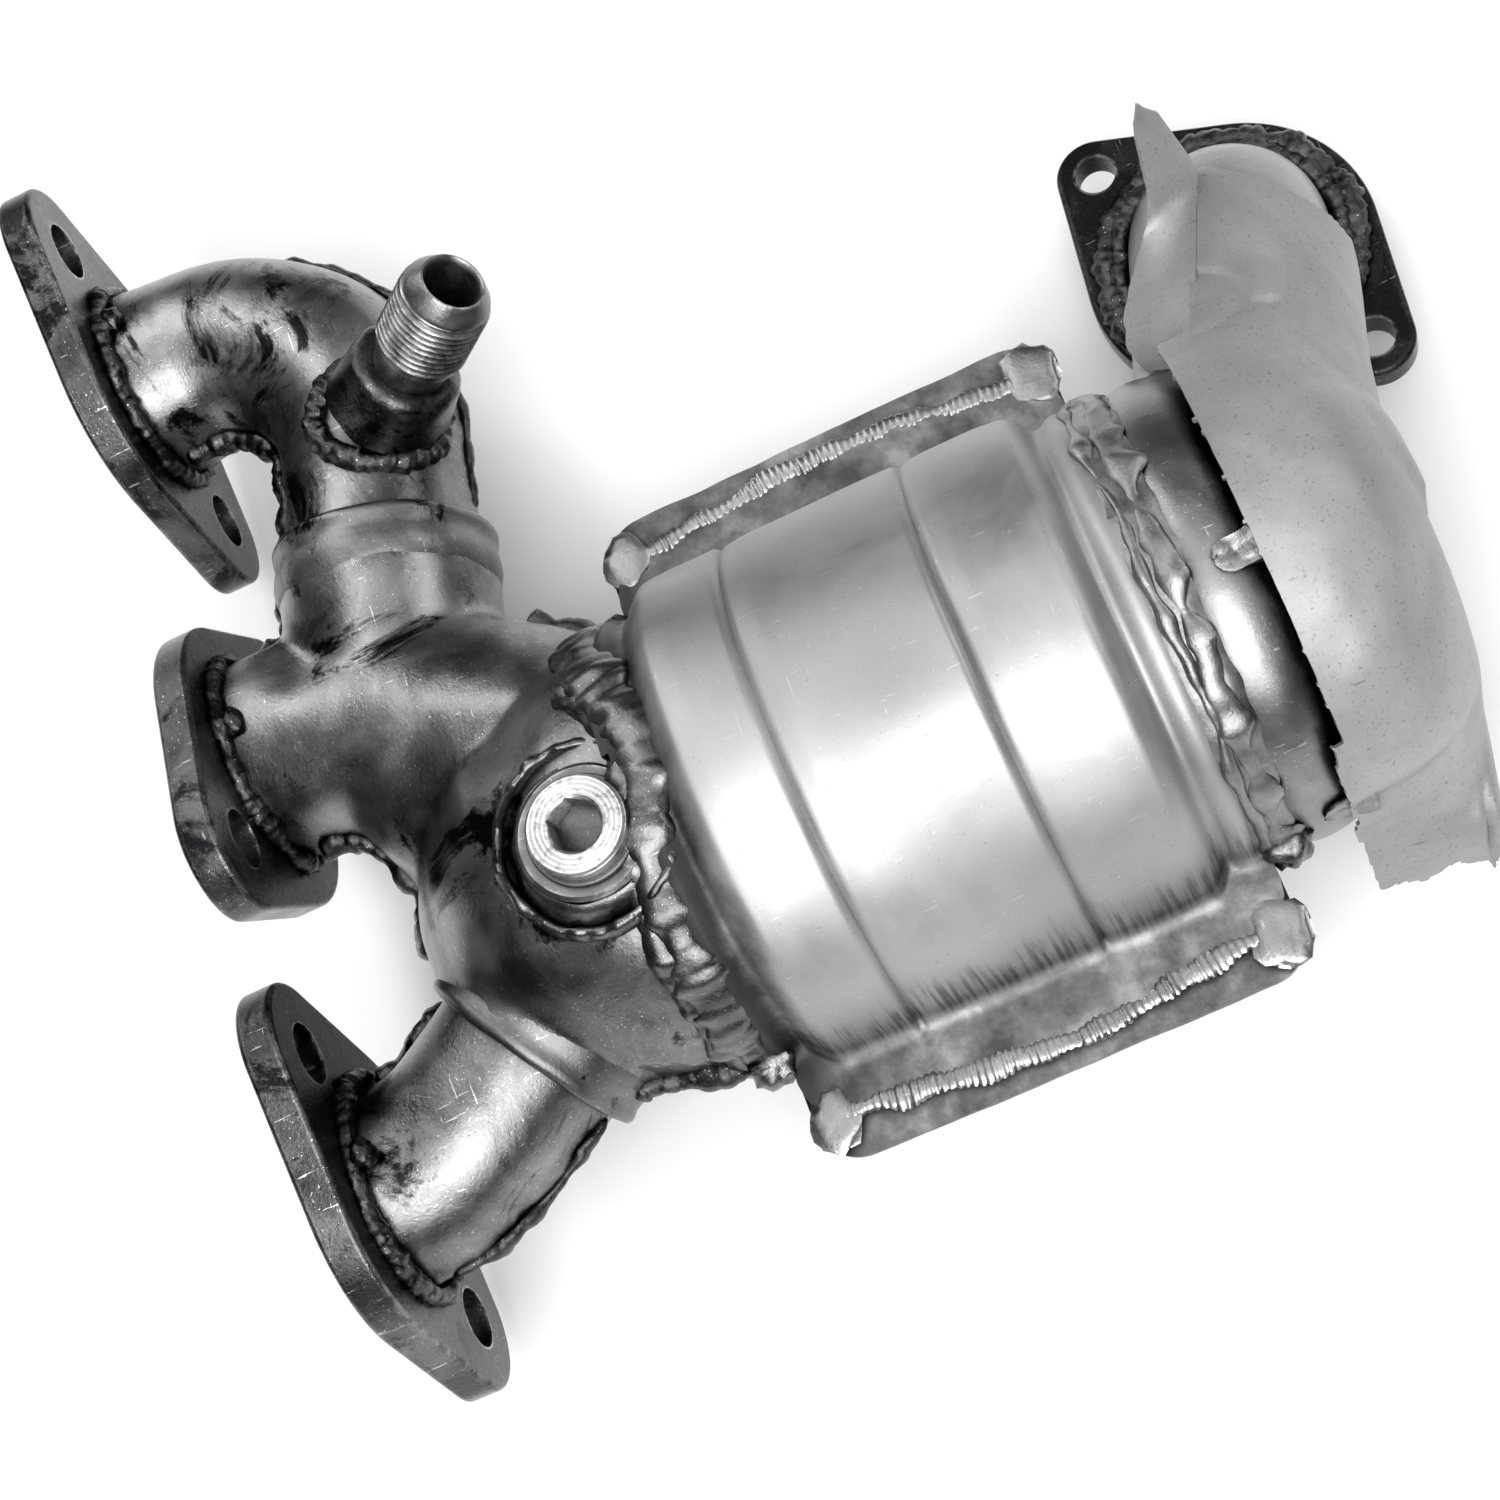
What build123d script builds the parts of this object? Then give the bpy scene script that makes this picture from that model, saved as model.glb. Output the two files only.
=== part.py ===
from build123d import *
import math
import os

# Exhaust manifold with a close-coupled catalytic converter, in millimetres.
# Origin: centre of the middle port on its gasket face. +X runs along the row of
# ports towards the end with the gas take-off fitting, +Y points into the
# cylinder head, and +Z is the side that carries the sensor port.

# Every cutting tool is at least this long
THROUGH = 90.0

# Port row
PORT_PITCH = 98.0
PORT_FLANGE_THICK = 8.0
PORT_FLANGE_BODY_R = 32.7
PORT_FLANGE_TIP_R = 15.5
PORT_HOLE_OFFSET = 25.0
PORT_HOLE_R = 6.5
PORT_BORE_R = 19.5
PORT_SOCKET_DEPTH = 4.0
EDGE_ROUND = 1.2

# Runner tubing
WALL = 1.8
RUNNER_END_R = 22.0
RUNNER_R = 20.6
SLEEVE_R = RUNNER_END_R + WALL
SLEEVE_LAP = 8.0

# Upper elbow: down from the first port, then round towards the middle port
UPPER_STRAIGHT = 20.0
UPPER_BEND_R = 34.0
UPPER_BEND_ANGLE = 102.0
UPPER_RUN_OUT = 24.0

# Lower elbow: a short easy bend from the third port
LOWER_STRAIGHT = 10.0
LOWER_BEND_R = 38.0
LOWER_BEND_ANGLE = 33.0
LOWER_RUN_OUT = 17.0

# Collector legs, as (centre, heading, radius) between their open ends and the converter
UPPER_LEG = (
    ((0, -43, 0), (-1, -0.05, 0), 22.5),
    ((-24, -48, 0), (-0.86, -0.5, 0), 23.5),
    ((-45, -66, 0), (-0.5, -0.86, 0), 29.0),
)
MIDDLE_LEG = (
    ((-2, -20, 0), (-0.1, -1, 0), 23.0),
    ((-9, -36, 0), (-0.5, -0.87, 0), 22.5),
    ((-34, -62, 0), (-0.7, -0.7, 0), 27.0),
)
LOWER_LEG = (
    ((-72, -62, 0), (0.45, -0.9, 0), 26.0),
    ((-64, -78, 0), (0.2, -0.98, 0), 34.0),
)
# The collector's neck as (distance along Y, radius), and the end of its straight part
NECK_CONE = ((-46.0, 12.0), (-54.0, 24.0), (-66.0, 34.5))
NECK_STRAIGHT_Y = -84.0
NECK_END_Y = -95.0

# Converter, along -Y at CONV_X
CONV_X = -57.0
CONV_SHEET = 1.8
BARREL_R = 53.0
BARREL_FRONT_Y = -104.0
BARREL_REAR_Y = -180.0
INLET_NECK_R = 47.8
INLET_NECK_Y = -88.0
OUTLET_NECK_R = 47.8
OUTLET_NECK_Y = -196.0
SHOULDER = 7.0
SHOULDER_DROP = 1.6
GROOVE_Y = (-120.0, -159.0)
GROOVE_DEPTH = 0.6
GROOVE_SECTION_R = 1.6
SEAM_TOP_HALF = 66.0
SEAM_BOTTOM_HALF = 73.0
SEAM_FRONT_Y = -93.0
SEAM_REAR_Y = -194.0
SEAM_CORNER_R = 10.0

# Inside the converter
BRICK_R = 46.0
BRICK_FRONT_Y = -110.0
BRICK_REAR_Y = -175.0
SEAL_WIDTH = 3.0
LINER_SHEET = 1.0
LINER_FRONT_Y = -95.0
LINER_REAR_Y = -108.0
LINER_GAP = 1.5
LINER_FOOT = 1.5

# Outlet housing and duct
HOUSING_R = OUTLET_NECK_R - CONV_SHEET
HOUSING_SWELL_R = 47.6
HOUSING_WALL = 1.6
HOUSING_LAP = 7.0
HOUSING_DOME_Y = -212.0
HOUSING_END_Y = -243.0
DOME_BLUNTNESS = 0.6
DOME_POINTS = 8
MOUTH_LAND = 0.5
MOUTH_FLARE = 3.0
DUCT_R = 21.5
DUCT_FOOT_Z = -31.0
# The duct from inside the housing, along +X, then down, as (centre, heading, radius)
DUCT = (
    ((-50, -219, 0), (1, -0.2, 0), 23.5),
    ((-26, -224, 0), (1, -0.25, -0.02), 22.5),
    ((-8, -229.5, -1.5), (0.96, -0.25, -0.15), DUCT_R),
    ((10, -235.5, -8), (0.86, -0.25, -0.45), DUCT_R),
    ((24, -239, -19), (0.55, -0.1, -0.83), DUCT_R),
)
OUTLET_X = 30.0
OUTLET_Y = -240.0
OUTLET_FACE_Z = -40.0
OUTLET_FLANGE_THICK = 7.0
OUTLET_SOCKET_DEPTH = 4.0
OUTLET_BORE_R = 19.0
OUTLET_HOLE_R = 4.5
OUTLET_HOLE_DX = 32.0
OUTLET_HOLE_DY = 19.0
OUTLET_BODY_R = 32.0
OUTLET_TIP_R = 8.8

# Heat shield
SHIELD_GAP = 3.0
SHIELD_SHEET = 1.0
SHIELD_EDGE_Y = -214.0
SHIELD_HEM_Z = -4.0
SHIELD_END_X = 30.0
SHIELD_BAND = 2.0
SKIRT_CORNERS = ((-107.0, -215.0, 1.0), (-107.0, -230.0, 1.0), (-119.0, -230.0, -20.0), (-119.0, -215.0, -20.0))
TIP_CORNERS = ((15.0, -223.0, 11.0), (22.0, -236.0, 13.0), (35.0, -229.5, 34.0))
STRAP_WIDTH = 9.0
STRAP_REACH = 20.0
STANDOFF_Y = (-208.0, -215.5)
STANDOFF_ANGLES = (100.0, 172.0)

# Gas take-off fitting on the upper elbow
FITTING_X = 56.0
FITTING_LEAN = 42.5
FITTING_MOUTH_Y = -93.0
FITTING_MOUTH_Z = 50.0
FITTING_THREAD_R = 10.0
FITTING_THREAD_LEN = 17.0
FITTING_NOSE = 4.0
FITTING_NOSE_WALL = 1.2
FITTING_THREAD_ROOT = 0.6
FITTING_BORE_R = 5.8
FITTING_SHANK_R = 8.0
FITTING_BOSS_R = 12.2
FITTING_BOSS_TOP = 30.0
FITTING_LEN = 46.0

# Sensor port
BUNG_X = -62.0
BUNG_Y = -79.5
BUNG_R = 13.6
BUNG_TOP_Z = 46.0
BUNG_BOTTOM_Z = 34.0
BUNG_BORE_R = 9.05
BUNG_NOTCH = 0.5
BUNG_CHAMFER = 0.8
PLUG_CLEARANCE = 0.05
PLUG_HEAD_R = 10.0
PLUG_HEAD_THICK = 3.4
PLUG_SHANK = 12.0
PLUG_HEX = 10.0
PLUG_HEX_DEPTH = 7.0
PLUG_CHAMFER = 0.6
PLUG_LEAD_IN = 1.0
SOCKET_LEAD_IN = 1.6
WASHER_THICK = 1.2
WASHER_OUTER_R = 11.0
WASHER_INNER_R = 9.4
WASHER_ROUND = 0.4


def hull_plate(circles, thickness):
    """A plate from z=0 to z=thickness whose outline is drawn tight round some circles."""
    edges = []
    for x, y, r in circles:
        edges += (Pos(x, y) * Circle(r)).edges()
    return extrude(make_hull(edges), thickness)


def on_axis(point, direction, shape):
    """Place a shape so that its local Z runs along a direction from a point."""
    return Plane(origin=point, z_dir=direction) * shape


def along(point, direction, distance):
    return tuple(p + distance * d for p, d in zip(point, direction))


def rod(point, direction, radius, length):
    """A round bar that starts at a point and runs along a direction."""
    align = (Align.CENTER, Align.CENTER, Align.MIN)
    return on_axis(point, direction, Cylinder(radius, length, align=align))


def tube_loft(stations):
    """A smooth round solid through stations of (point, heading, radius)."""
    return loft([on_axis(point, heading, Circle(radius)) for point, heading, radius in stations])


def shrink(stations, wall):
    """The same stations with smaller circles, which make the gas passage."""
    return [(point, heading, radius - wall) for point, heading, radius in stations]


def halves(solid):
    """Cut a stamped tube into its upper and lower shells at z=0."""
    top = split(solid, bisect_by=Plane.XY, keep=Keep.TOP)
    bottom = split(solid, bisect_by=Plane.XY, keep=Keep.BOTTOM)
    return top, bottom


def one_turn(start, heading_deg, straight, bend_r, bend_deg, run_out):
    """Four points with headings: start, start of the bend, end of the bend and end."""
    side = 1 if bend_deg > 0 else -1
    before = math.radians(heading_deg)
    after = before + math.radians(bend_deg)
    x, y = start
    bx = x + straight * math.cos(before)
    by = y + straight * math.sin(before)
    ex = bx + side * bend_r * (math.sin(after) - math.sin(before))
    ey = by - side * bend_r * (math.cos(after) - math.cos(before))
    ahead = (math.cos(before), math.sin(before), 0)
    onward = (math.cos(after), math.sin(after), 0)
    end = (ex + run_out * onward[0], ey + run_out * onward[1], 0)
    return [((x, y, 0), ahead), ((bx, by, 0), ahead), ((ex, ey, 0), onward), (end, onward)]


def port_flange(index):
    """One two-bolt flange. The middle one is mirrored, so its holes lean the other way."""
    cx = PORT_PITCH * (1 - index)
    lean = -1 if index == 1 else 1
    d = PORT_HOLE_OFFSET
    tips = [(-d, -d * lean), (d, d * lean)]
    circles = [(0, 0, PORT_FLANGE_BODY_R)] + [(x, y, PORT_FLANGE_TIP_R) for x, y in tips]
    plate = hull_plate(circles, PORT_FLANGE_THICK)
    rim = plate.edges().group_by(Axis.Z)
    plate = fillet(rim[0] + rim[-1], EDGE_ROUND)
    for x, y in tips:
        plate -= Pos(x, y, 0) * Cylinder(PORT_HOLE_R, THROUGH)
    plate -= Cylinder(PORT_BORE_R, THROUGH)
    socket = PORT_FLANGE_THICK - PORT_SOCKET_DEPTH
    plate -= rod((0, 0, socket), (0, 0, 1), RUNNER_END_R, THROUGH)
    # local X stays row X, local Y becomes row Z and local Z becomes row -Y
    return Plane(origin=(cx, 0, 0), x_dir=(1, 0, 0), z_dir=(0, -1, 0)) * plate


def upper_path():
    """The line of the elbow from the first port."""
    start = (PORT_PITCH, -PORT_FLANGE_THICK)
    straight = UPPER_STRAIGHT - PORT_FLANGE_THICK
    return one_turn(start, -90, straight, UPPER_BEND_R, -UPPER_BEND_ANGLE, UPPER_RUN_OUT)


def lower_path():
    """The line of the elbow from the third port."""
    start = (-PORT_PITCH, -PORT_FLANGE_THICK)
    straight = LOWER_STRAIGHT - PORT_FLANGE_THICK
    return one_turn(start, -90, straight, LOWER_BEND_R, LOWER_BEND_ANGLE, LOWER_RUN_OUT)


def runner_solid(path, wall):
    """An elbow between its two round ends, solid, with its surface moved in by wall."""
    (start, ahead), (bend_start, _), (bend_end, onward), (end, _) = path
    end_r = RUNNER_END_R - wall
    mid_r = RUNNER_R - wall
    solid = rod(along(start, ahead, -PORT_SOCKET_DEPTH), ahead, end_r, PORT_SOCKET_DEPTH)
    solid += tube_loft([(start, ahead, end_r), (bend_start, ahead, mid_r)])
    arc = TangentArc(Vector(*bend_start), Vector(*bend_end), tangent=Vector(*ahead))
    solid += sweep(on_axis(bend_start, ahead, Circle(mid_r)), path=arc)
    solid += tube_loft([(bend_end, onward, mid_r), (end, onward, end_r)])
    solid += rod(end, onward, end_r, SLEEVE_LAP)
    return solid


def fitting_axis():
    """The mouth of the take-off fitting and the direction that it points in."""
    lean = math.radians(FITTING_LEAN)
    return (FITTING_X, FITTING_MOUTH_Y, FITTING_MOUTH_Z), (0, -math.sin(lean), math.cos(lean))


def egr_fitting():
    """Bored fitting with a tapered nose, a thread, a shank and a boss that sits on the elbow."""
    mouth, out = fitting_axis()
    back = tuple(-c for c in out)
    thread_end = FITTING_NOSE + FITTING_THREAD_LEN
    body = rod(along(mouth, out, -FITTING_LEN), out, FITTING_SHANK_R, FITTING_LEN - thread_end)
    body += rod(along(mouth, out, -thread_end), out, FITTING_THREAD_R, FITTING_THREAD_LEN)
    nose_base = on_axis(along(mouth, back, FITTING_NOSE), out, Circle(FITTING_THREAD_R - FITTING_THREAD_ROOT))
    nose_tip = on_axis(mouth, out, Circle(FITTING_BORE_R + FITTING_NOSE_WALL))
    body += loft([nose_base, nose_tip])
    boss = rod(along(mouth, out, -FITTING_LEN), out, FITTING_BOSS_R, FITTING_LEN - FITTING_BOSS_TOP)
    boss -= runner_solid(upper_path(), 0)
    body += max(boss.solids(), key=lambda s: s.center().Z)
    return body - rod(along(mouth, out, -THROUGH / 2), out, FITTING_BORE_R, THROUGH)


def upper_elbow():
    path = upper_path()
    shell = runner_solid(path, 0) - runner_solid(path, WALL)
    mouth, out = fitting_axis()
    top, bottom = halves(shell)
    top -= rod(along(mouth, out, -FITTING_LEN), out, FITTING_SHANK_R, FITTING_LEN)
    return top, bottom


def lower_elbow():
    path = lower_path()
    return halves(runner_solid(path, 0) - runner_solid(path, WALL))


def leg_stations():
    """The three legs of the collector, each from its open end to the converter."""
    (ux, uy, _), (uhx, uhy, _) = upper_path()[-1]
    (lx, ly, _), (lhx, lhy, _) = lower_path()[-1]
    upper = [((ux + SLEEVE_LAP * uhx, uy + SLEEVE_LAP * uhy, 0), (uhx, uhy, 0), SLEEVE_R)]
    middle = [((0, -PORT_FLANGE_THICK, 0), (0, -1, 0), RUNNER_END_R)]
    lower = [((lx + SLEEVE_LAP * lhx, ly + SLEEVE_LAP * lhy, 0), (lhx, lhy, 0), SLEEVE_R)]
    upper += UPPER_LEG
    middle += MIDDLE_LEG
    lower += LOWER_LEG
    return upper, middle, lower


def collector_solid(wall):
    """The collector with its sleeves and neck, solid, with its surface moved in by wall."""
    upper, middle, lower = (shrink(leg, wall) for leg in leg_stations())
    body = tube_loft(upper) + tube_loft(middle) + tube_loft(lower)
    ahead = (0, -1, 0)
    socket_y = PORT_SOCKET_DEPTH - PORT_FLANGE_THICK
    body += rod((0, socket_y, 0), ahead, RUNNER_END_R - wall, PORT_SOCKET_DEPTH)
    for leg in (upper, lower):
        point, heading, radius = leg[0]
        body += rod(point, tuple(-c for c in heading), radius, SLEEVE_LAP)
    end_r = INLET_NECK_R - CONV_SHEET - wall
    neck = [((CONV_X, y, 0), ahead, radius - wall) for y, radius in NECK_CONE]
    body += tube_loft(neck + [((CONV_X, NECK_STRAIGHT_Y, 0), ahead, end_r)])
    body += rod((CONV_X, NECK_STRAIGHT_Y, 0), ahead, end_r, NECK_STRAIGHT_Y - NECK_END_Y)
    return body


def collector():
    shell = collector_solid(0) - collector_solid(WALL)
    for path in (upper_path(), lower_path()):
        (x, y, _), heading = path[-1]
        shell -= rod((x, y, 0), heading, RUNNER_END_R, SLEEVE_LAP)
    top, bottom = halves(shell)
    top -= rod((BUNG_X, BUNG_Y, BUNG_BOTTOM_Z), (0, 0, 1), BUNG_R, THROUGH)
    return top, bottom


def sensor_bung():
    """Bored boss that the plug screws into."""
    bung = rod((BUNG_X, BUNG_Y, BUNG_BOTTOM_Z), (0, 0, 1), BUNG_R, BUNG_TOP_Z - BUNG_BOTTOM_Z)
    rim = bung.edges().group_by(Axis.Z)[-1]
    bung = chamfer(rim, BUNG_CHAMFER)
    return bung - rod((BUNG_X, BUNG_Y, 0), (0, 0, 1), BUNG_BORE_R, THROUGH)


def plug_gasket():
    outer = rod((BUNG_X, BUNG_Y, BUNG_TOP_Z), (0, 0, 1), WASHER_OUTER_R, WASHER_THICK)
    outer = fillet(outer.edges(), WASHER_ROUND)
    return outer - rod((BUNG_X, BUNG_Y, 0), (0, 0, 1), WASHER_INNER_R, THROUGH)


def sensor_plug():
    """Screw plug with a flat head and a hexagon socket."""
    seat = BUNG_TOP_Z + WASHER_THICK
    head = rod((BUNG_X, BUNG_Y, seat), (0, 0, 1), PLUG_HEAD_R, PLUG_HEAD_THICK)
    head = chamfer(head.edges().group_by(Axis.Z)[-1], PLUG_CHAMFER)
    shank = rod((BUNG_X, BUNG_Y, seat), (0, 0, -1), BUNG_BORE_R - PLUG_CLEARANCE, PLUG_SHANK)
    shank = chamfer(shank.edges().group_by(Axis.Z)[0], PLUG_LEAD_IN)
    hexagon = RegularPolygon(PLUG_HEX / 2, 6, major_radius=False)
    floor = seat + PLUG_HEAD_THICK - PLUG_HEX_DEPTH
    socket = extrude(Pos(BUNG_X, BUNG_Y, floor) * hexagon, PLUG_HEX_DEPTH)
    top = (Align.CENTER, Align.CENTER, Align.MAX)
    wide = PLUG_HEX / 2 + SOCKET_LEAD_IN / 2
    mouth = Cone(wide - SOCKET_LEAD_IN, wide, SOCKET_LEAD_IN, align=top)
    return head + shank - socket - Pos(BUNG_X, BUNG_Y, seat + PLUG_HEAD_THICK) * mouth


def spun(profile):
    """Turn a list of (Y, radius) about the converter axis."""
    first, last = profile[0], profile[-1]
    points = [(0, first[0])] + [(r, y) for y, r in profile] + [(0, last[0])]
    face = make_face(Polyline([Vector(x, y) for x, y in points], close=True))
    return Pos(CONV_X, 0, 0) * revolve(face, Axis.Y, 360)


def barrel_profile(inset):
    """Outside of the converter shells, or the inside when inset by the sheet."""
    return [
        (INLET_NECK_Y, INLET_NECK_R - inset),
        (BARREL_FRONT_Y + SHOULDER, INLET_NECK_R - inset),
        (BARREL_FRONT_Y + SHOULDER / 2, BARREL_R - SHOULDER_DROP - inset),
        (BARREL_FRONT_Y, BARREL_R - inset),
        (BARREL_REAR_Y, BARREL_R - inset),
        (BARREL_REAR_Y - SHOULDER / 2, BARREL_R - SHOULDER_DROP - inset),
        (BARREL_REAR_Y - SHOULDER, OUTLET_NECK_R - inset),
        (OUTLET_NECK_Y, OUTLET_NECK_R - inset),
    ]


def seam_plate(half_width, z):
    """The flat rim along both sides of one shell, a whole plate before the barrel is cut out."""
    length = SEAM_FRONT_Y - SEAM_REAR_Y
    plan = RectangleRounded(2 * half_width, length, SEAM_CORNER_R)
    return extrude(Pos(CONV_X, (SEAM_FRONT_Y + SEAM_REAR_Y) / 2, z) * plan, CONV_SHEET)


def converter_shells():
    """Upper and lower shells, each a half barrel with a flat rim along both sides."""
    outer = spun(barrel_profile(0))
    inner = spun(barrel_profile(CONV_SHEET))
    for y in GROOVE_Y:
        groove = Torus(BARREL_R + GROOVE_SECTION_R - GROOVE_DEPTH, GROOVE_SECTION_R)
        outer -= Plane(origin=(CONV_X, y, 0), z_dir=(0, 1, 0)) * groove
    top, bottom = halves(outer)
    top += seam_plate(SEAM_TOP_HALF, 0)
    bottom += seam_plate(SEAM_BOTTOM_HALF, -CONV_SHEET)
    top -= inner
    bottom -= inner
    top -= rod((BUNG_X, BUNG_Y, 0), (0, 0, 1), BUNG_R + BUNG_NOTCH, THROUGH)
    return top, bottom


def ring(y_from, y_to, outer_r, inner_r):
    """A plain ring about the converter axis."""
    outer = rod((CONV_X, y_from, 0), (0, -1, 0), outer_r, y_from - y_to)
    return outer - rod((CONV_X, y_from + 1, 0), (0, -1, 0), inner_r, y_from - y_to + 2)


def catalyst_parts():
    """The brick, the mat that grips it and a wire seal at each end of the mat."""
    inside = BARREL_R - CONV_SHEET
    brick = rod((CONV_X, BRICK_FRONT_Y, 0), (0, -1, 0), BRICK_R, BRICK_FRONT_Y - BRICK_REAR_Y)
    mat = ring(BRICK_FRONT_Y - SEAL_WIDTH, BRICK_REAR_Y + SEAL_WIDTH, inside, BRICK_R)
    front = ring(BRICK_FRONT_Y, BRICK_FRONT_Y - SEAL_WIDTH, inside, BRICK_R)
    rear = ring(BRICK_REAR_Y + SEAL_WIDTH, BRICK_REAR_Y, inside, BRICK_R)
    return brick, mat, front, rear


def inlet_liner():
    """A thin sleeve inside the inlet neck that keeps hot gas off the joint."""
    outer_r = INLET_NECK_R - CONV_SHEET - WALL - LINER_GAP
    tube = ring(LINER_FRONT_Y, LINER_REAR_Y, outer_r, outer_r - LINER_SHEET)
    foot = ring(LINER_FRONT_Y, LINER_FRONT_Y - LINER_FOOT, INLET_NECK_R - CONV_SHEET, outer_r - LINER_SHEET)
    return tube + foot


def duct_stations(extra):
    """From inside the outlet housing to the outlet flange, with the surface moved out by extra."""
    stations = list(DUCT) + [((OUTLET_X, OUTLET_Y, DUCT_FOOT_Z), (0, 0, -1), DUCT_R)]
    return shrink(stations, -extra)


def housing_solid(wall, lap):
    """Round mouth, domed end and side duct, solid, with the surface moved in by wall."""
    straight = [
        (OUTLET_NECK_Y + lap, HOUSING_R - wall),
        (OUTLET_NECK_Y - MOUTH_LAND, HOUSING_R - wall),
        (OUTLET_NECK_Y - MOUTH_FLARE, HOUSING_SWELL_R - wall),
        (HOUSING_DOME_Y, HOUSING_SWELL_R - wall),
    ]
    body = spun(straight)
    body += dome(HOUSING_DOME_Y, HOUSING_SWELL_R - wall, HOUSING_END_Y + wall)
    body += tube_loft(duct_stations(-wall))
    foot_z = OUTLET_FACE_Z + OUTLET_FLANGE_THICK - OUTLET_SOCKET_DEPTH
    body += rod((OUTLET_X, OUTLET_Y, DUCT_FOOT_Z), (0, 0, -1), DUCT_R - wall, DUCT_FOOT_Z - foot_z)
    return body


def dome(y_from, radius, y_to):
    """A blunt rounded end: an elliptic quarter turned about the converter axis."""
    depth = y_from - y_to
    points = []
    for k in range(DOME_POINTS + 1):
        a = math.radians(90) * k / DOME_POINTS
        points.append((radius * math.cos(a) ** DOME_BLUNTNESS, y_from - depth * math.sin(a) ** DOME_BLUNTNESS))
    points[-1] = (0, y_to)
    curve = Spline([Vector(x, y) for x, y in points], tangents=[(0, -1), (-1, 0)])
    face = make_face([curve, Line((0, y_to), (0, y_from)), Line((0, y_from), points[0])])
    return Pos(CONV_X, 0, 0) * revolve(face, Axis.Y, 360)


def outlet_housing():
    return halves(housing_solid(0, HOUSING_LAP) - housing_solid(HOUSING_WALL, HOUSING_LAP))


def outlet_flange():
    """Two-bolt flange that faces down, with its holes on a diagonal."""
    dx, dy = OUTLET_HOLE_DX, OUTLET_HOLE_DY
    tips = [(dx, dy), (-dx, -dy)]
    plate = hull_plate([(0, 0, OUTLET_BODY_R)] + [(x, y, OUTLET_TIP_R) for x, y in tips], OUTLET_FLANGE_THICK)
    rim = plate.edges().group_by(Axis.Z)
    plate = fillet(rim[0] + rim[-1], EDGE_ROUND)
    for x, y in tips:
        plate -= Pos(x, y, 0) * Cylinder(OUTLET_HOLE_R, THROUGH)
    plate -= Cylinder(OUTLET_BORE_R, THROUGH)
    plate -= rod((0, 0, OUTLET_FLANGE_THICK - OUTLET_SOCKET_DEPTH), (0, 0, 1), DUCT_R, THROUGH)
    return Pos(OUTLET_X, OUTLET_Y, OUTLET_FACE_Z) * plate


def shield_solid(gap):
    """The outlet housing and duct grown by a gap, from the shield's edge onwards."""
    radius = HOUSING_SWELL_R + gap
    body = spun([(SHIELD_EDGE_Y, radius), (SHIELD_EDGE_Y - SHIELD_BAND, radius)])
    body += dome(SHIELD_EDGE_Y - SHIELD_BAND, radius, HOUSING_END_Y - gap)
    body += tube_loft(duct_stations(gap))
    return body


def sheet_from(points, thickness):
    """A flat piece of sheet through three or more corners."""
    corners = [Vector(*p) for p in points]
    face = make_face(Polyline(corners, close=True))
    return extrude(face, thickness)


def heat_shield():
    """Sheet over the outlet housing and duct, with a flared skirt and a curled tip."""
    sheet = shield_solid(SHIELD_GAP + SHIELD_SHEET) - shield_solid(SHIELD_GAP)
    kept = Box(2 * THROUGH, THROUGH, THROUGH, align=(Align.MAX, Align.MAX, Align.MIN))
    sheet = sheet & Pos(SHIELD_END_X, SHIELD_EDGE_Y, SHIELD_HEM_Z) * kept
    sheet = max(sheet.solids(), key=lambda s: s.volume)
    sheet += sheet_from(SKIRT_CORNERS, SHIELD_SHEET)
    sheet += sheet_from(TIP_CORNERS, SHIELD_SHEET)
    return sheet


def shield_standoff(angle):
    """A short strap on the housing that the edge of the shield is spot welded to."""
    ring_body = ring(STANDOFF_Y[0], STANDOFF_Y[1], HOUSING_SWELL_R + SHIELD_GAP, HOUSING_SWELL_R)
    a = math.radians(angle)
    x = CONV_X + HOUSING_SWELL_R * math.cos(a)
    z = HOUSING_SWELL_R * math.sin(a)
    slot = Pos(x, STANDOFF_Y[0], z) * Rot(0, -angle, 0) * Box(STRAP_REACH, 2 * STRAP_REACH, STRAP_WIDTH)
    return ring_body & slot


def write(name, shape):
    export_step(shape, f"parts/{name}.step")


def main():
    os.makedirs("parts", exist_ok=True)
    for index in range(3):
        write(f"port_flange_{index + 1}", port_flange(index))
    for stem, pair in (
        ("upper_elbow", upper_elbow()),
        ("lower_elbow", lower_elbow()),
        ("collector", collector()),
        ("converter", converter_shells()),
        ("outlet_housing", outlet_housing()),
    ):
        write(f"{stem}_top", pair[0])
        write(f"{stem}_bottom", pair[1])
    write("egr_fitting", egr_fitting())
    write("sensor_bung", sensor_bung())
    write("plug_gasket", plug_gasket())
    write("sensor_plug", sensor_plug())
    names = ("catalyst_brick", "support_mat", "front_seal_ring", "rear_seal_ring")
    for name, shape in zip(names, catalyst_parts()):
        write(name, shape)
    write("inlet_liner", inlet_liner())
    write("outlet_flange", outlet_flange())
    write("heat_shield", heat_shield())
    for name, angle in zip(("upper", "side"), STANDOFF_ANGLES):
        write(f"shield_standoff_{name}", shield_standoff(angle))


if __name__ == "__main__":
    main()
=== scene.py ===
import math

import bpy
from mathutils import Matrix, Vector, noise


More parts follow.
